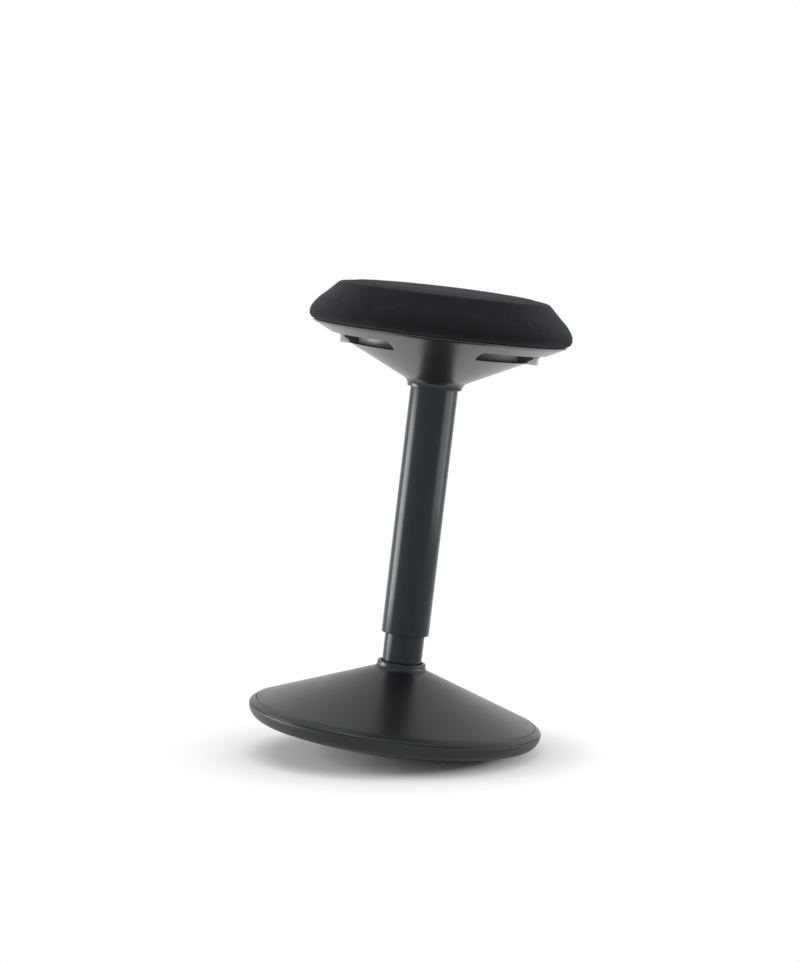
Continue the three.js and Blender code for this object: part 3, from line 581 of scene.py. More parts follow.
def shell_finish():
    """Satin charcoal plastic, polished on the open skin and duller down at the neck."""
    finish = Finish("charcoal_plastic")
    pattern = finish.pattern(GRAIN, Grain_scale=1500.0)
    finish.paint(pattern["Blotch"], (0.010, 0.011, 0.013), (0.014, 0.015, 0.017))
    finish.roughen(pattern["Blotch"], 0.20, 0.26)
    finish.emboss(pattern["Height"], 0.006 * MM)
    place = add_node(finish.tree, "ShaderNodeSeparateXYZ")
    connect(finish.tree, finish.vector, place.inputs[0])
    polish = spread(finish.tree, place.outputs["Z"], *POLISH_HEIGHTS, NECK_POLISH, SKIN_POLISH)
    connect(finish.tree, polish, finish.shader.inputs["Specular IOR Level"])
    return finish.material


def metal(name, low, high, roughness, depth, scale=900.0):
    """Bare metal with the fine lines that turning or grinding leaves."""
    finish = Finish(name, Metallic=1.0)
    pattern = finish.pattern(TURNED_LINES, Line_scale=scale)
    finish.paint(pattern["Tone"], low, high)
    finish.roughen(pattern["Height"], *roughness)
    finish.emboss(pattern["Height"], depth)
    return finish.material


def knit_finish():
    """Close black knit: soft yarn rows, with painted shade darkening the gaps between the stitches."""
    finish = Finish("black_knit", coordinates="UV", Roughness=0.95, Sheen_Weight=0.2, Sheen_Roughness=0.3)
    finish.shader.inputs["Sheen Tint"].default_value = (0.55, 0.62, 0.75, 1)
    finish.shader.inputs["Specular IOR Level"].default_value = 0.25
    pattern = finish.pattern(KNIT)
    yarn = finish.colour(pattern["Yarn tone"], (0.0075, 0.0088, 0.0112), (0.0105, 0.0122, 0.0156))
    made = add_node(finish.tree, "ShaderNodeMix", data_type="RGBA")
    connect(finish.tree, pattern["Gap shade"], made.inputs["Factor"])
    connect(finish.tree, yarn, made.inputs[6])
    # Near-black in the gaps: painted shade in the hollows between the stitches
    made.inputs[7].default_value = (0.003, 0.0035, 0.005, 1)
    connect(finish.tree, made.outputs[2], finish.shader.inputs["Base Color"])
    finish.emboss(pattern["Height"], 0.35 * MM, 0.7)
    return finish.material


def foam_finish():
    """Pale foam: small open cells of uneven size."""
    finish = Finish("open_cell_foam", Roughness=0.95)
    cells = add_node(finish.tree, "ShaderNodeTexVoronoi", feature="DISTANCE_TO_EDGE")
    connect(finish.tree, finish.vector, cells.inputs["Vector"])
    cells.inputs["Scale"].default_value = 700.0
    edge = spread(finish.tree, cells.outputs["Distance"], 0.0, 0.2)
    finish.paint(edge, (0.62, 0.60, 0.50), (0.48, 0.45, 0.36))
    finish.emboss(edge, 0.3 * MM)
    return finish.material


def plywood_finish():
    """Birch plywood: thin plies that show at the edge and long grain on the faces."""
    finish = Finish("birch_plywood", Roughness=0.75)
    plies = add_node(finish.tree, "ShaderNodeTexWave", bands_direction="Z")
    connect(finish.tree, finish.vector, plies.inputs["Vector"])
    plies.inputs["Scale"].default_value = 95.0
    plies.inputs["Distortion"].default_value = 1.5
    stretch = add_node(finish.tree, "ShaderNodeMapping")
    connect(finish.tree, finish.vector, stretch.inputs["Vector"])
    stretch.inputs["Scale"].default_value = (1.0, 14.0, 14.0)
    grain = noise(finish.tree, stretch.outputs[0], 12.0, 5.0, 0.65)
    mask = calculate(finish.tree, "MULTIPLY_ADD", plies.outputs["Fac"], 0.35, grain)
    finish.paint(spread(finish.tree, mask, 0.35, 0.95), (0.36, 0.22, 0.11), (0.58, 0.41, 0.24))
    finish.emboss(grain, 0.2 * MM)
    return finish.material


# Faint blue of the reflections in the dark coats
COOL = (0.88, 0.97, 1.0, 1)

FINISHES = {
    "charcoal": shell_finish(),
    "cover": grained(
        "charcoal_cover_plastic",
        (0.008, 0.0095, 0.0115),
        (0.011, 0.0125, 0.0145),
        roughness=(0.27, 0.33),
        grain=1500.0,
        depth=0.006 * MM,
        Specular_IOR_Level=0.32,
        Specular_Tint=COOL,
    ),
    "rubber": grained(
        "black_rubber",
        (0.011, 0.0115, 0.012),
        (0.016, 0.0165, 0.017),
        roughness=(0.36, 0.46),
        grain=1100.0,
        depth=0.03 * MM,
        Specular_IOR_Level=0.36,
        Specular_Tint=COOL,
    ),
    "tube": grained(
        "blue_grey_coat",
        (0.013, 0.016, 0.021),
        (0.017, 0.021, 0.027),
        roughness=(0.20, 0.24),
        grain=2400.0,
        depth=0.004 * MM,
        Specular_IOR_Level=0.22,
        Specular_Tint=COOL,
    ),
    # Pocket liners: the same nylon as the black parts, painted lighter so that the pocket walls look lit
    # (painted light)
    "liner": grained(
        "nylon_painted_lighter_as_lit",
        (0.075, 0.081, 0.093),
        (0.095, 0.102, 0.116),
        roughness=(0.30, 0.38),
        grain=900.0,
        depth=0.02 * MM,
        Specular_IOR_Level=0.4,
    ),
    "nylon": grained(
        "black_nylon",
        (0.012, 0.014, 0.018),
        (0.017, 0.019, 0.024),
        roughness=(0.25, 0.33),
        grain=900.0,
        depth=0.03 * MM,
    ),
    "iron": grained(
        "dark_cast_iron",
        (0.045, 0.046, 0.048),
        (0.085, 0.085, 0.085),
        roughness=(0.5, 0.7),
        grain=500.0,
        depth=0.25 * MM,
        Metallic=0.7,
    ),
    "off_white": grained(
        "off_white_plastic",
        (0.78, 0.77, 0.73),
        (0.84, 0.83, 0.79),
        roughness=(0.38, 0.46),
        grain=1200.0,
        depth=0.01 * MM,
    ),
    "steel": metal(
        "zinc_plated_steel",
        (0.42, 0.43, 0.44),
        (0.60, 0.61, 0.62),
        roughness=(0.25, 0.45),
        depth=0.03 * MM,
    ),
    "wood": plywood_finish(),
    "foam": foam_finish(),
    "knit": knit_finish(),
}


def dress(piece, slot, body, *nodes, finish=None):
    """Gives a piece its finish, its body and the nodes that it stands for."""
    piece.data.materials.clear()
    piece.data.materials.append(FINISHES[finish or slot])
    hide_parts(*nodes)
    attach(piece, body)


def dress_nodes():
    """Every solid that stays shown gets the finish of its slot."""
    for part in frame["record"]["subparts"]:
        solid = frame["nodes"][part["node"]]
        solid.data.materials.clear()
        solid.data.materials.append(FINISHES[part["material_slot"]])


# Base

SOLE_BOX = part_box("rubber_sole")
BASE_RADIUS = SOLE_BOX[1].x
SOLE_TOP = SOLE_BOX[1].z
COVER_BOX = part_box("base_cover")
COVER_RADIUS = COVER_BOX[1].x
COLLAR_TOP = COVER_BOX[1].z
PAN_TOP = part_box("base_pan")[1].z
PAN_LIP_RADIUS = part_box("base_pan")[1].x
COLUMN_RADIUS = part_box("column_tube")[1].x
COLLAR_BORE = COLUMN_RADIUS + COLLAR_GAP
COLLAR_FACE = COLLAR_BORE + COLLAR_WALL
COLLAR_FOOT = COLLAR_TOP - COLLAR_DEPTH
DOME_CENTRE = math.sqrt(DOME_RADIUS**2 - REST_RADIUS**2)
PAN_RADIUS = BASE_RADIUS - SOLE_WALL


def dome_height(radius, inset=0.0):
    return DOME_CENTRE - math.sqrt((DOME_RADIUS - inset) ** 2 - radius**2)


def dome_rows(start, end, inset=0.0, steps=16):
    """Rows along the dome, or along the same dome drawn in, from one radius to another."""
    radii = [start + (end - start) * i / steps for i in range(steps + 1)]
    return [(radius, dome_height(radius, inset)) for radius in radii]


def rubber_sole():
    centre_radius = BASE_RADIUS - SOLE_EDGE
    centre_height = DOME_CENTRE - math.sqrt((DOME_RADIUS - SOLE_EDGE) ** 2 - centre_radius**2)
    slope = math.asin(centre_radius / (DOME_RADIUS - SOLE_EDGE))
    rows = [(0, 0), *dome_rows(REST_RADIUS, DOME_RADIUS * math.sin(slope))]
    edge_steps = 14
    for i in range(1, edge_steps + 1):
        angle = slope + (math.pi / 2 - slope) * i / edge_steps
        radius = centre_radius + SOLE_EDGE * math.sin(angle)
        rows.append((radius, centre_height - SOLE_EDGE * math.cos(angle)))
    crease_steps = 4
    for i in range(1, crease_steps + 1):
        angle = math.pi / 2 * i / crease_steps
        radius = BASE_RADIUS - CREASE * (1 - math.cos(angle))
        rows.append((radius, SOLE_TOP - CREASE * (1 - math.sin(angle))))
    rows += [(PAN_RADIUS, SOLE_TOP), *dome_rows(PAN_RADIUS, 0, SOLE_THICKNESS)]
    piece = turned("sole", rows)
    smooth(piece, 50)
    dress(piece, "rubber", "base", "rubber_sole")


def base_pan():
    outer = PAN_RADIUS - GAP
    bottom = SOLE_TOP + GAP
    mouth = COVER_RADIUS + GROOVE
    inner = mouth - PAN_LEDGE - GAP
    ledge = PAN_TOP - LEDGE_DEPTH - GAP
    under = SOLE_THICKNESS + GAP
    floor = dome_height(0, under) + PAN_FLOOR_RISE
    lip = rounded(
        [
            (outer, dome_height(outer, under), 0),
            (outer, bottom, 0),
            (PAN_LIP_RADIUS, bottom, 0.3 * MM),
            (PAN_LIP_RADIUS, bottom + PAN_LIP_EDGE, 1.2 * MM),
            (mouth, PAN_TOP, 0.25 * MM),
            (mouth, ledge, 0),
            (inner, ledge, 0),
            (inner, dome_height(inner, under + PAN_WALL), 0),
        ]
    )
    rows = [
        *dome_rows(0, outer, under)[:-1],
        *lip,
        *dome_rows(inner, PAN_FLOOR_RADIUS, under + PAN_WALL)[1:],
        (PAN_FLOOR_RADIUS, floor),
        (0, floor),
    ]
    piece = turned("pan", rows)
    smooth(piece)
    dress(piece, "charcoal", "base", "base_pan", finish="cover")


def collar_rows(steps=10):
    """The cone's sweep up into the collar, from a shallow slope to upright."""
    sweep = 0.8 * COLLAR_DEPTH
    return [
        (COLLAR_FACE + COLLAR_FLARE * (1 - i / steps) ** 3, COLLAR_FOOT + sweep * (i / steps) ** 1.15)
        for i in range(steps + 1)
    ]


def base_cover():
    flare = COLLAR_FACE + COLLAR_FLARE
    rise = COLLAR_FOOT - PAN_TOP
    slope = rise / (COVER_RADIUS - flare)
    inner = COVER_RADIUS - COVER_RIM
    rim = rounded(
        [
            (inner, PAN_TOP - LEDGE_DEPTH, 0),
            (COVER_RADIUS, PAN_TOP - LEDGE_DEPTH, 0),
            (COVER_RADIUS, PAN_TOP, 0.7 * MM),
            (flare, COLLAR_FOOT, 0),
        ]
    )[:-1]
    cone_steps = 24
    cone = [
        (COVER_RADIUS + (flare - COVER_RADIUS) * i / cone_steps, PAN_TOP + rise * i / cone_steps)
        for i in range(1, cone_steps)
    ]
    lip = rounded(
        [
            (COLLAR_FACE, COLLAR_TOP - 3 * MM, 0),
            (COLLAR_FACE, COLLAR_TOP, 1.9 * MM),
            (COLLAR_BORE, COLLAR_TOP, 0.8 * MM),
            (COLLAR_BORE, COLLAR_FOOT - COVER_WALL, 0),
        ],
        steps=6,
    )
    under = [(flare, COLLAR_FOOT - COVER_WALL), (inner, PAN_TOP + slope * COVER_RIM - COVER_WALL)]
    piece = turned("cone_cover", [*rim, *cone, *collar_rows(), *lip[1:], *under])
    smooth(piece, 35)
    dress(piece, "charcoal", "base", "base_cover", finish="cover")


# Column

def column():
    low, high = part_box("column_tube")
    bore = COLUMN_RADIUS - TUBE_WALL
    floor = low.z + COLUMN_FLOOR
    rows = rounded(
        [
            (ROD_BORE, low.z, 0),
            (COLUMN_RADIUS, low.z, 0.8 * MM),
            (COLUMN_RADIUS, high.z, 0.6 * MM),
            (bore, high.z, 0),
            (bore, floor, 0),
            (ROD_BORE, floor, 0),
        ]
    )
    piece = turned("column", rows, TUBE_STEPS)
    smooth(piece)
    dress(piece, "tube", "base", "column_tube")


def cover_tube():
    low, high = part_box("outer_tube")
    bore = high.x - TUBE_WALL
    rows = rounded(
        [
            (bore, low.z, 0.3 * MM),
            (high.x, low.z, 0.9 * MM),
            (high.x, high.z, 0.3 * MM),
            (bore, high.z, 0.3 * MM),
        ]
    )
    piece = turned("cover_tube", rows, TUBE_STEPS)
    smooth(piece)
    dress(piece, "tube", "seat", "outer_tube")


# Seat shell

SHELL_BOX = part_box("seat_shell")
SHELL_TOP = SHELL_BOX[1].z
SHELL_NECK = SHELL_BOX[0].z
CONE_HEIGHT = SHELL_NECK + SHELL_CONE_RISE
NECK_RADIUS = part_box("outer_tube")[1].x + GAP + SHELL_NECK_WALL
SLOT_BOTTOM = SHELL_TOP - SLOT_DROP
SLOT_TOP = SLOT_BOTTOM + SLOT_HEIGHT


def ring_radii(piece, height):
    """Distances from the axis of the vertices at a height."""
    return [v.co.xy.length for v in piece.data.vertices if abs(v.co.z - height) < MERGE]


def round_off(piece, height, radius):
    """Makes the selected ring a circle of a radius."""
    bpy.ops.transform.tosphere(value=1.0)
    bpy.ops.object.mode_set(mode="OBJECT")
    radii = ring_radii(piece, height)
    scale = radius / (sum(radii) / len(radii))
    bpy.ops.object.mode_set(mode="EDIT")
    bpy.ops.transform.resize(value=(scale, scale, 1), center_override=(0, 0, height))


def extrude_ring(rise):
    bpy.ops.mesh.extrude_edges_move(TRANSFORM_OT_translate={"value": (0, 0, rise)})


def slot_cutter():
    """A wedge round the axis towards +X, with a half round at each end, that cuts a hand slot."""
    outer = CORNER_REACH + CORNER_RADIUS
    profile = [
        toward(-SLOT_HALF_ANGLE, SLOT_INNER_RADIUS, SLOT_BOTTOM),
        toward(-SLOT_HALF_ANGLE, outer, SLOT_BOTTOM),
        toward(-SLOT_HALF_ANGLE, outer, SLOT_TOP),
        toward(-SLOT_HALF_ANGLE, SLOT_INNER_RADIUS, SLOT_TOP),
    ]
    cutter = start_face("slot_cutter", profile)
    bpy.ops.mesh.spin(steps=24, angle=-2 * SLOT_HALF_ANGLE, center=(0, 0, 0), axis=(0, 0, 1))
    close_up()

    def at_end(point):
        return abs(abs(math.atan2(point.y, point.x)) - SLOT_HALF_ANGLE) < 0.001

    select_edges(cutter, lambda a, b: at_end(a) and at_end(b) and abs(a.z - b.z) < MM)
    bpy.ops.mesh.bevel(offset=SLOT_ROUND, segments=10, affect="EDGES")
    leave_edit()
    return cutter


def seat_shell():
    piece = plan_loop("shell", RIM_INSET, SHELL_TOP)
    bpy.ops.mesh.select_mode(type="EDGE")
    bpy.ops.mesh.select_all(action="SELECT")
    extrude_ring(CONE_HEIGHT - SHELL_TOP)
    round_off(piece, CONE_HEIGHT, SHELL_CONE_RADIUS)
    neck_steps = 10
    depth = CONE_HEIGHT - SHELL_NECK
    last = CONE_HEIGHT
    for i in range(1, neck_steps + 1):
        turn = NECK_TURN * (1 - i / neck_steps)
        height = SHELL_NECK + depth * math.sin(turn) / math.sin(NECK_TURN)
        flare = (1 - math.cos(turn)) / (1 - math.cos(NECK_TURN))
        radius = NECK_RADIUS + (SHELL_CONE_RADIUS - NECK_RADIUS) * flare
        extrude_ring(height - last)
        round_off(piece, height, radius)
        last = height
    # Cross rings over the long skin between neck and rim
    select_edges(piece, lambda a, b: abs(a.z - b.z) > 0.6 * (SHELL_TOP - CONE_HEIGHT))
    bpy.ops.mesh.subdivide_edgering(number_cuts=SKIN_ROWS, interpolation="LINEAR")
    close_up()
    leave_edit()
    if piece.data.polygons[0].normal.dot(piece.data.polygons[0].center) < 0:
        flip(piece)
    modify(piece, "SOLIDIFY", thickness=SHELL_WALL, offset=-1.0, use_even_offset=True)
    cutter = slot_cutter()
    for angle in SLOT_ANGLES:
        cut(piece, copy_turned(cutter, "turned_cutter", angle))
    bpy.data.objects.remove(cutter)
    soften(piece, EDGE_ROUND, segments=2, angle=50)
    smooth(piece, 30)
    dress(piece, "charcoal", "seat", "seat_shell")


def shell_radius(angle, height):
    """Distance from the axis to the shell's outer face."""
    share = (height - CONE_HEIGHT) / (SHELL_TOP - CONE_HEIGHT)
    return SHELL_CONE_RADIUS + (plan_radius(angle, RIM_INSET) - SHELL_CONE_RADIUS) * share


def grip_liner(number, slot_angle, lever_angle):
    """Wall, ceiling and two ends of a hand slot's pocket, with a window where the lever comes through."""
    low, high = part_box(f"grip_liner_{number}")
    wall_bottom = low.z
    ceiling = high.z - LINER_WALL
    wall_height = CONE_HEIGHT + LINER_SHARE * (SHELL_TOP - CONE_HEIGHT)
    lid_height = ceiling - SHELL_LIFT
    steps = 28
    angles = [slot_angle + LINER_HALF_ANGLE * (2 * i / steps - 1) for i in range(steps + 1)]
    foot = [toward(a, shell_radius(a, wall_height) - GAP, wall_bottom) for a in angles]
    lid = [toward(a, shell_radius(a, lid_height) - 2 * GAP, ceiling) for a in angles]
    piece = start_point(f"liner_{number}", foot[0])
    draw(foot)
    bpy.ops.mesh.select_all(action="SELECT")
    extrude_ring(ceiling - wall_bottom)
    bpy.ops.mesh.select_mode(type="VERT")
    add_point(lid[0])
    draw(lid)
    select_edges(piece, lambda a, b: min(a.z, b.z) > ceiling - MM)
    bpy.ops.mesh.bridge_edge_loops()
    bpy.ops.mesh.select_mode(type="VERT")
    for low_corner, outer_corner in ((foot[0], lid[0]), (foot[-1], lid[-1])):
        corners = (low_corner, low_corner + Vector((0, 0, ceiling - wall_bottom)), outer_corner)
        bpy.ops.mesh.select_all(action="DESELECT")
        select_vertices(piece, lambda place: min((place - corner).length for corner in corners) < 0.1 * MM)
        bpy.ops.mesh.edge_face_add()
    bpy.ops.mesh.select_all(action="SELECT")
    bpy.ops.mesh.normals_make_consistent(inside=False)
    leave_edit()
    if piece.data.polygons[0].normal.dot(toward(slot_angle, 1.0)) > 0:
        flip(piece)
    modify(piece, "SOLIDIFY", thickness=LINER_WALL, offset=1.0, use_even_offset=True)
    leave_edit()
    bpy.ops.object.select_all(action="DESELECT")
    bpy.ops.mesh.primitive_cube_add(
        size=1, location=toward(lever_angle, WINDOW_PLACE, wall_bottom), rotation=(0, 0, lever_angle)
    )
    block = bpy.context.object
    block.scale = (WINDOW_DEPTH, 2 * WINDOW_HALF_WIDTH, 2 * (SLOT_TOP - wall_bottom))
    bpy.ops.object.transform_apply(location=True, rotation=True, scale=True)
    cut(piece, block)
    soften(piece, EDGE_ROUND, segments=2, angle=50)
    smooth(piece, 30)
    return piece


def release_tab(number, angle):
    """The off-white finger tab: a rounded block outside the skin, its inner face sloped like the shell."""
    low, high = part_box(f"lever_paddle_{number}")
    tip = shell_radius(angle, SLOT_BOTTOM + SLOT_HEIGHT / 2) + TAB_REACH

    def slope_at(height):
        return shell_radius(angle, height) + TAB_CLEARANCE

    slope = (slope_at(SHELL_TOP) - slope_at(CONE_HEIGHT)) / (SHELL_TOP - CONE_HEIGHT)
    head = tip - TAB_HEAD
    head_foot = CONE_HEIGHT + (head - slope_at(CONE_HEIGHT)) / slope
    heel = slope_at(SLOT_BOTTOM)
    places = [
        (heel, -TAB_WIDTH / 2, low.z),
        (tip, -TAB_WIDTH / 2, low.z),
        (tip, -TAB_WIDTH / 2, high.z),
        (head, -TAB_WIDTH / 2, high.z),
        (head, -TAB_WIDTH / 2, head_foot),
        (heel, -TAB_WIDTH / 2, SLOT_BOTTOM),
    ]
    piece = start_face(f"tab_{number}", places)
    bpy.ops.mesh.extrude_region_move(TRANSFORM_OT_translate={"value": (0, TAB_WIDTH, 0)})
    close_up()
    select_edges(piece, lambda a, b: abs(a.z - b.z) > 5 * MM and min(a.x, b.x) > tip - MM)
    bpy.ops.mesh.bevel(offset=TAB_ROUND, segments=8, affect="EDGES")
    leave_edit()
    soften(piece, TAB_EDGE_ROUND, segments=3, angle=35)
    turn_about_axis(piece, angle)
    smooth(piece, 30)
    return piece


def hand_grips():
    """Liners and tabs. The right-hand tab is the left-hand one turned half way round."""
    rear, left, right = LEVER_ANGLES
    tabs = [release_tab(1, rear), release_tab(2, left)]
    tabs.append(copy_turned(tabs[1], "tab_3", right - left))
    for number, tab in enumerate(tabs, 1):
        liner = grip_liner(number, SLOT_ANGLES[number - 1], LEVER_ANGLES[number - 1])
        # The liners take the lighter nylon, which is painted light on the pocket walls
        dress(liner, "nylon", "seat", f"grip_liner_{number}", finish="liner")
        dress(tab, "off_white", f"lever_{number}", f"lever_paddle_{number}")


# Cushion

SEAT_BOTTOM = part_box("fabric_cover")[0].z

# Rows of (share of the top's inset, share of the rise): up the side from the widest line, round
# the top edge, and down from the widest line to the hem
SIDE_SHARES = [
    (0, 0.193),
    (0.034, 0.288),
    (0.113, 0.386),
    (0.268, 0.53),
    (0.445, 0.674),
    (0.65, 0.819),
    (0.8, 0.932),
]
EDGE_SHARES = [(0.855, 0.975), (0.9, 0.994), (0.944, 1.0), (1.0, 1.0)]
LOWER_SHARES = [(0, 0.193), (0.008, 0.12), (0.04, 0.05), (0.1, 0.01), (0.17, 0.0)]


def grow_rows(rows, draw_in, sign):
    """Insets the selected face row by row, rising or falling to each row's height."""
    for (inset, rise), (next_inset, next_rise) in zip(rows, rows[1:]):
        bpy.ops.mesh.inset(
            thickness=max(next_inset - inset, 0.0) * draw_in,
            depth=sign * (next_rise - rise) * CUSHION_RISE,
            use_even_offset=True,
        )


def cushion_form(name, inset, bottom):
    """The cushion's closed form, drawn in all over by an inset and cut flat at a height."""
    widest = SEAT_BOTTOM + LOWER_SHARES[0][1] * CUSHION_RISE
    piece = plan_loop(name, inset, widest - WIDEST_BAND / 2)
    bpy.ops.mesh.edge_face_add()
    bpy.ops.mesh.extrude_region_move(TRANSFORM_OT_translate={"value": (0, 0, WIDEST_BAND)})
    close_up()
    select_faces(piece, lambda c, n: n.z > 0.9)
    grow_rows([*SIDE_SHARES, *EDGE_SHARES], TOP_INSET, 1)
    crown_steps = 6
    top = SEAT_BOTTOM + CUSHION_RISE
    for i in range(1, crown_steps):
        before = 1 - (i - 1) / crown_steps
        after = 1 - i / crown_steps
        bpy.ops.mesh.extrude_region_move(
            TRANSFORM_OT_translate={"value": (0, 0, CUSHION_CROWN * (before**2 - after**2))}
        )
        bpy.ops.transform.resize(value=(after / before, after / before, 1), center_override=(0, 0, top))
    bpy.ops.mesh.poke()
    select_faces(piece, lambda c, n: n.z < -0.9)
    grow_rows(LOWER_SHARES, TOP_INSET, -1)
    leave_edit()
    if inset:
        edit(piece)
        bpy.ops.mesh.select_all(action="SELECT")
        bpy.ops.transform.translate(value=(0, 0, -inset))
        bpy.ops.mesh.select_all(action="SELECT")
        bpy.ops.mesh.bisect(plane_co=(0, 0, bottom), plane_no=(0, 0, 1), clear_inner=True, use_fill=True)
        leave_edit()
    return piece


def plump(piece, limit):
    """Swells a closed pad with a short cloth simulation, each point by no more than a limit."""
    scene = bpy.context.scene
    held = piece.vertex_groups.new(name="held")
    base = SEAT_BOTTOM + HELD_SHARE * CUSHION_RISE
    held.add([v.index for v in piece.data.vertices if v.co.z < base], 1.0, "REPLACE")
    start = [v.co.copy() for v in piece.data.vertices]
    pick(piece)
    cloth = piece.modifiers.new("cloth", "CLOTH")
    cloth.settings.use_pressure = True
    cloth.settings.uniform_pressure_force = PRESSURE
    cloth.settings.vertex_group_mass = "held"
    cloth.settings.effector_weights.gravity = 0.0
    cloth.point_cache.frame_start = 1
    cloth.point_cache.frame_end = SWELL_FRAMES
    for moment in range(1, SWELL_FRAMES + 1):
        scene.frame_set(moment)
    shaped = piece.evaluated_get(bpy.context.evaluated_depsgraph_get()).data
    moved = [v.co.copy() for v in shaped.vertices]
    piece.modifiers.remove(cloth)
    scene.frame_set(1)
    for vertex, before, after in zip(piece.data.vertices, start, moved):
        step = after - before
        if step.length > limit:
            step *= limit / step.length
        vertex.co = before + step


def lay_weave(piece):
    """Lays the weave out from the middle of the top, over the edge and down the sides, in metres."""
    top_edge = SEAT_BOTTOM + CUSHION_RISE
    side_rise = SLANT_SHARE * CUSHION_RISE
    slant = math.hypot(TOP_INSET, side_rise) / side_rise
    layer = piece.data.uv_layers.new(name="weave")
    for loop in piece.data.loops:
        place = piece.data.vertices[loop.vertex_index].co
        angle = math.atan2(place.y, place.x)
        top_radius = plan_radius(angle, TOP_INSET)
        along = min(place.xy.length, top_radius) + max(top_edge - place.z, 0.0) * slant
        layer.data[loop.index].uv = (math.cos(angle) * along, math.sin(angle) * along)


def fabric_cover():
    piece = cushion_form("cushion", 0.0, SEAT_BOTTOM)
    modify(piece, "REMESH", mode="VOXEL", voxel_size=REMESH_SIZE)
    plump(piece, 1.5 * SWELL)
    modify(piece, "SMOOTH", factor=0.5, iterations=1)
    modify(piece, "SUBSURF", levels=1, render_levels=1)
    # Open the underside inside the hem
    hem = plan_radius(REAR + THIRD / 2, 0) - HEM_WIDTH
    edit(piece, "FACE")
    select_faces(piece, lambda c, n: c.z < SEAT_BOTTOM + 4 * MM and c.xy.length < hem)
    bpy.ops.mesh.delete(type="FACE")
    leave_edit()
    modify(piece, "SOLIDIFY", thickness=COVER_THICKNESS, offset=-1.0)
    smooth(piece, 180)
    lay_weave(piece)
    dress(piece, "knit", "seat", "fabric_cover")


def foam_pad():
    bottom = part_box("foam_pad")[0].z
    piece = cushion_form("foam", COVER_THICKNESS + SWELL + GAP, bottom)
    smooth(piece, 60)
    dress(piece, "foam", "seat", "foam_pad")


# Floor, camera and light

def level_view():
    """The directions to the right of the camera and away from it, before the lean."""
    turn = VIEW_TURN - SEAT_TURN
    return Vector((math.cos(turn), -math.sin(turn), 0)), Vector((math.sin(turn), math.cos(turn), 0))


def lean_frame():
    """The leaning floor's directions: right, away from the camera, and up."""
    right, away = level_view()
    floor_up = (Vector((0, 0, 1)) * math.cos(LEAN) - right * math.sin(LEAN)).normalized()
    return away.cross(floor_up), away, floor_up


def add_camera():
    right, away = level_view()
    ahead = away * math.cos(VIEW_DIP) - Vector((0, 0, math.sin(VIEW_DIP)))
    up = right.cross(ahead)
    camera_right = right * math.cos(LEAN) + up * math.sin(LEAN)
    camera_up = -right * math.sin(LEAN) + up * math.cos(LEAN)
    place = Matrix.Rotation(SEAT_TURN, 3, "Z") @ Vector((0, -VIEW_DISTANCE, VIEW_HEIGHT))
    data = bpy.data.cameras.new("camera")
    data.lens = VIEW_LENS
    data.clip_start = 0.1
    data.clip_end = 100
    camera = bpy.data.objects.new("camera", data)
    turned_to = Matrix((camera_right, camera_up, -ahead)).transposed()
    camera.matrix_world = Matrix.Translation(place) @ turned_to.to_4x4()
    bpy.context.collection.objects.link(camera)
    bpy.context.scene.camera = camera


def shown_or_mirrored(tree):
    """1 for what the camera sees, straight or in a glossy or clear surface, and otherwise 0."""
    rays = add_node(tree, "ShaderNodeLightPath")
    seen = calculate(tree, "MAXIMUM", rays.outputs["Is Camera Ray"], rays.outputs["Is Glossy Ray"])
    return calculate(tree, "MAXIMUM", seen, rays.outputs["Is Transmission Ray"])


def floor_finish():
    """White floor that fades into the white beyond it, and isn't there seen from below."""
    material = bpy.data.materials.new("pale_floor")
    material.use_nodes = True
    tree = material.node_tree
    tree.nodes.clear()
    output = add_node(tree, "ShaderNodeOutputMaterial")
    matt = add_node(tree, "ShaderNodeBsdfDiffuse")
    matt.inputs["Color"].default_value = (0.9, 0.9, 0.9, 1)
    glow = add_node(tree, "ShaderNodeEmission")
    glow.inputs["Strength"].default_value = 1.0
    clear = add_node(tree, "ShaderNodeBsdfTransparent")
    centre = add_node(tree, "ShaderNodeTexCoord")
    distance = add_node(tree, "ShaderNodeVectorMath", operation="LENGTH")
    shift = add_node(tree, "ShaderNodeVectorMath", operation="ADD")
    connect(tree, centre.outputs["Object"], shift.inputs[0])
    shift.inputs[1].default_value = (FADE_SHIFT, 0, 0)
    connect(tree, shift.outputs[0], distance.inputs[0])
    far = spread(tree, distance.outputs["Value"], FADE_START, FADE_END)
    fade = calculate(tree, "MULTIPLY", far, shown_or_mirrored(tree))
    ground = add_node(tree, "ShaderNodeMixShader")
    connect(tree, fade, ground.inputs[0])
    connect(tree, matt.outputs[0], ground.inputs[1])
    connect(tree, glow.outputs[0], ground.inputs[2])
    side = add_node(tree, "ShaderNodeNewGeometry")
    both = add_node(tree, "ShaderNodeMixShader")
    connect(tree, side.outputs["Backfacing"], both.inputs[0])
    connect(tree, ground.outputs[0], both.inputs[1])
    connect(tree, clear.outputs[0], both.inputs[2])
    connect(tree, both.outputs[0], output.inputs["Surface"])
    return material


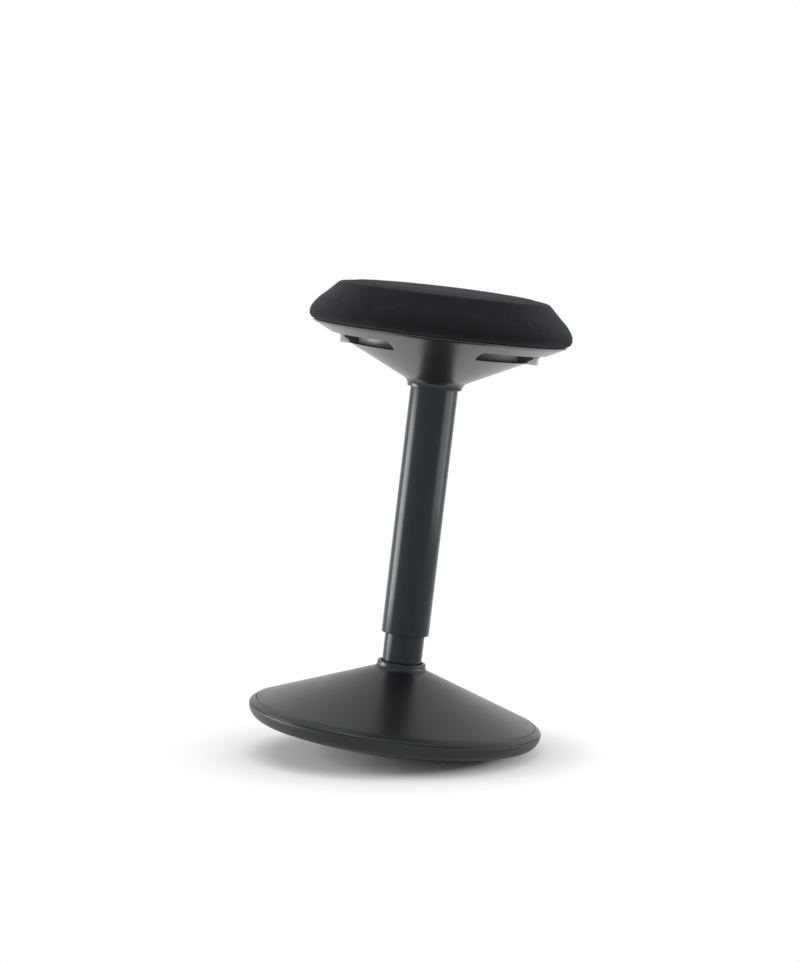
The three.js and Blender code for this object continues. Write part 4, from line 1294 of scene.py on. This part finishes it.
def add_floor():
    """A round floor that touches the dome where the leaning stool rests."""
    right, away, up = lean_frame()
    contact = Vector((0, 0, DOME_CENTRE)) - up * DOME_RADIUS
    leave_edit()
    bpy.ops.object.select_all(action="DESELECT")
    bpy.ops.mesh.primitive_circle_add(vertices=128, radius=FLOOR_RADIUS, fill_type="NGON")
    floor = bpy.context.object
    floor.name = "floor"
    floor.matrix_world = Matrix.Translation(contact) @ Matrix((right, away, up)).transposed().to_4x4()
    floor.data.materials.append(floor_finish())


def add_world():
    """White to look at, and an even, softer light on the stool."""
    world = bpy.data.worlds.new("studio")
    bpy.context.scene.world = world
    world.use_nodes = True
    tree = world.node_tree
    background = tree.nodes["Background"]
    level = calculate(tree, "MAXIMUM", shown_or_mirrored(tree), WORLD_LEVEL)
    connect(tree, level, background.inputs["Strength"])
    background.inputs["Color"].default_value = (1, 1, 1, 1)


def add_lamp(name, azimuth, elevation, distance, size, power):
    """A soft panel that faces the stool. Azimuth 0 is the camera's side and 90 its right."""
    right, away, up = lean_frame()
    a = math.radians(azimuth)
    e = math.radians(elevation)
    out = (-away * math.cos(a) + right * math.sin(a)) * math.cos(e) + up * math.sin(e)
    target = Vector((0, 0, LAMP_TARGET))
    data = bpy.data.lights.new(name, "AREA")
    data.shape = "RECTANGLE"
    data.size, data.size_y = size
    data.energy = power
    lamp = bpy.data.objects.new(name, data)
    lamp.location = target + out * distance
    lamp.rotation_euler = out.to_track_quat("Z", "Y").to_euler()
    bpy.context.collection.objects.link(lamp)
    return lamp


add_camera()
add_floor()
add_world()
add_lamp("left_panel", azimuth=-97, elevation=-1, distance=2.2, size=(1.2, 1.1), power=46)
add_lamp("right_panel", azimuth=88, elevation=-1, distance=2.2, size=(2.0, 1.1), power=27)
add_lamp("top_panel", azimuth=0, elevation=88, distance=2.5, size=(1.6, 1.6), power=20)
left_fill = add_lamp("left_fill", azimuth=-80, elevation=20, distance=2.2, size=(1.2, 0.5), power=14)
left_fill.visible_glossy = False

dress_nodes()
rubber_sole()
base_pan()
base_cover()
column()
cover_tube()
seat_shell()
hand_grips()
foam_pad()
fabric_cover()

bpy.context.scene.view_settings.view_transform = "Standard"
leave_edit()
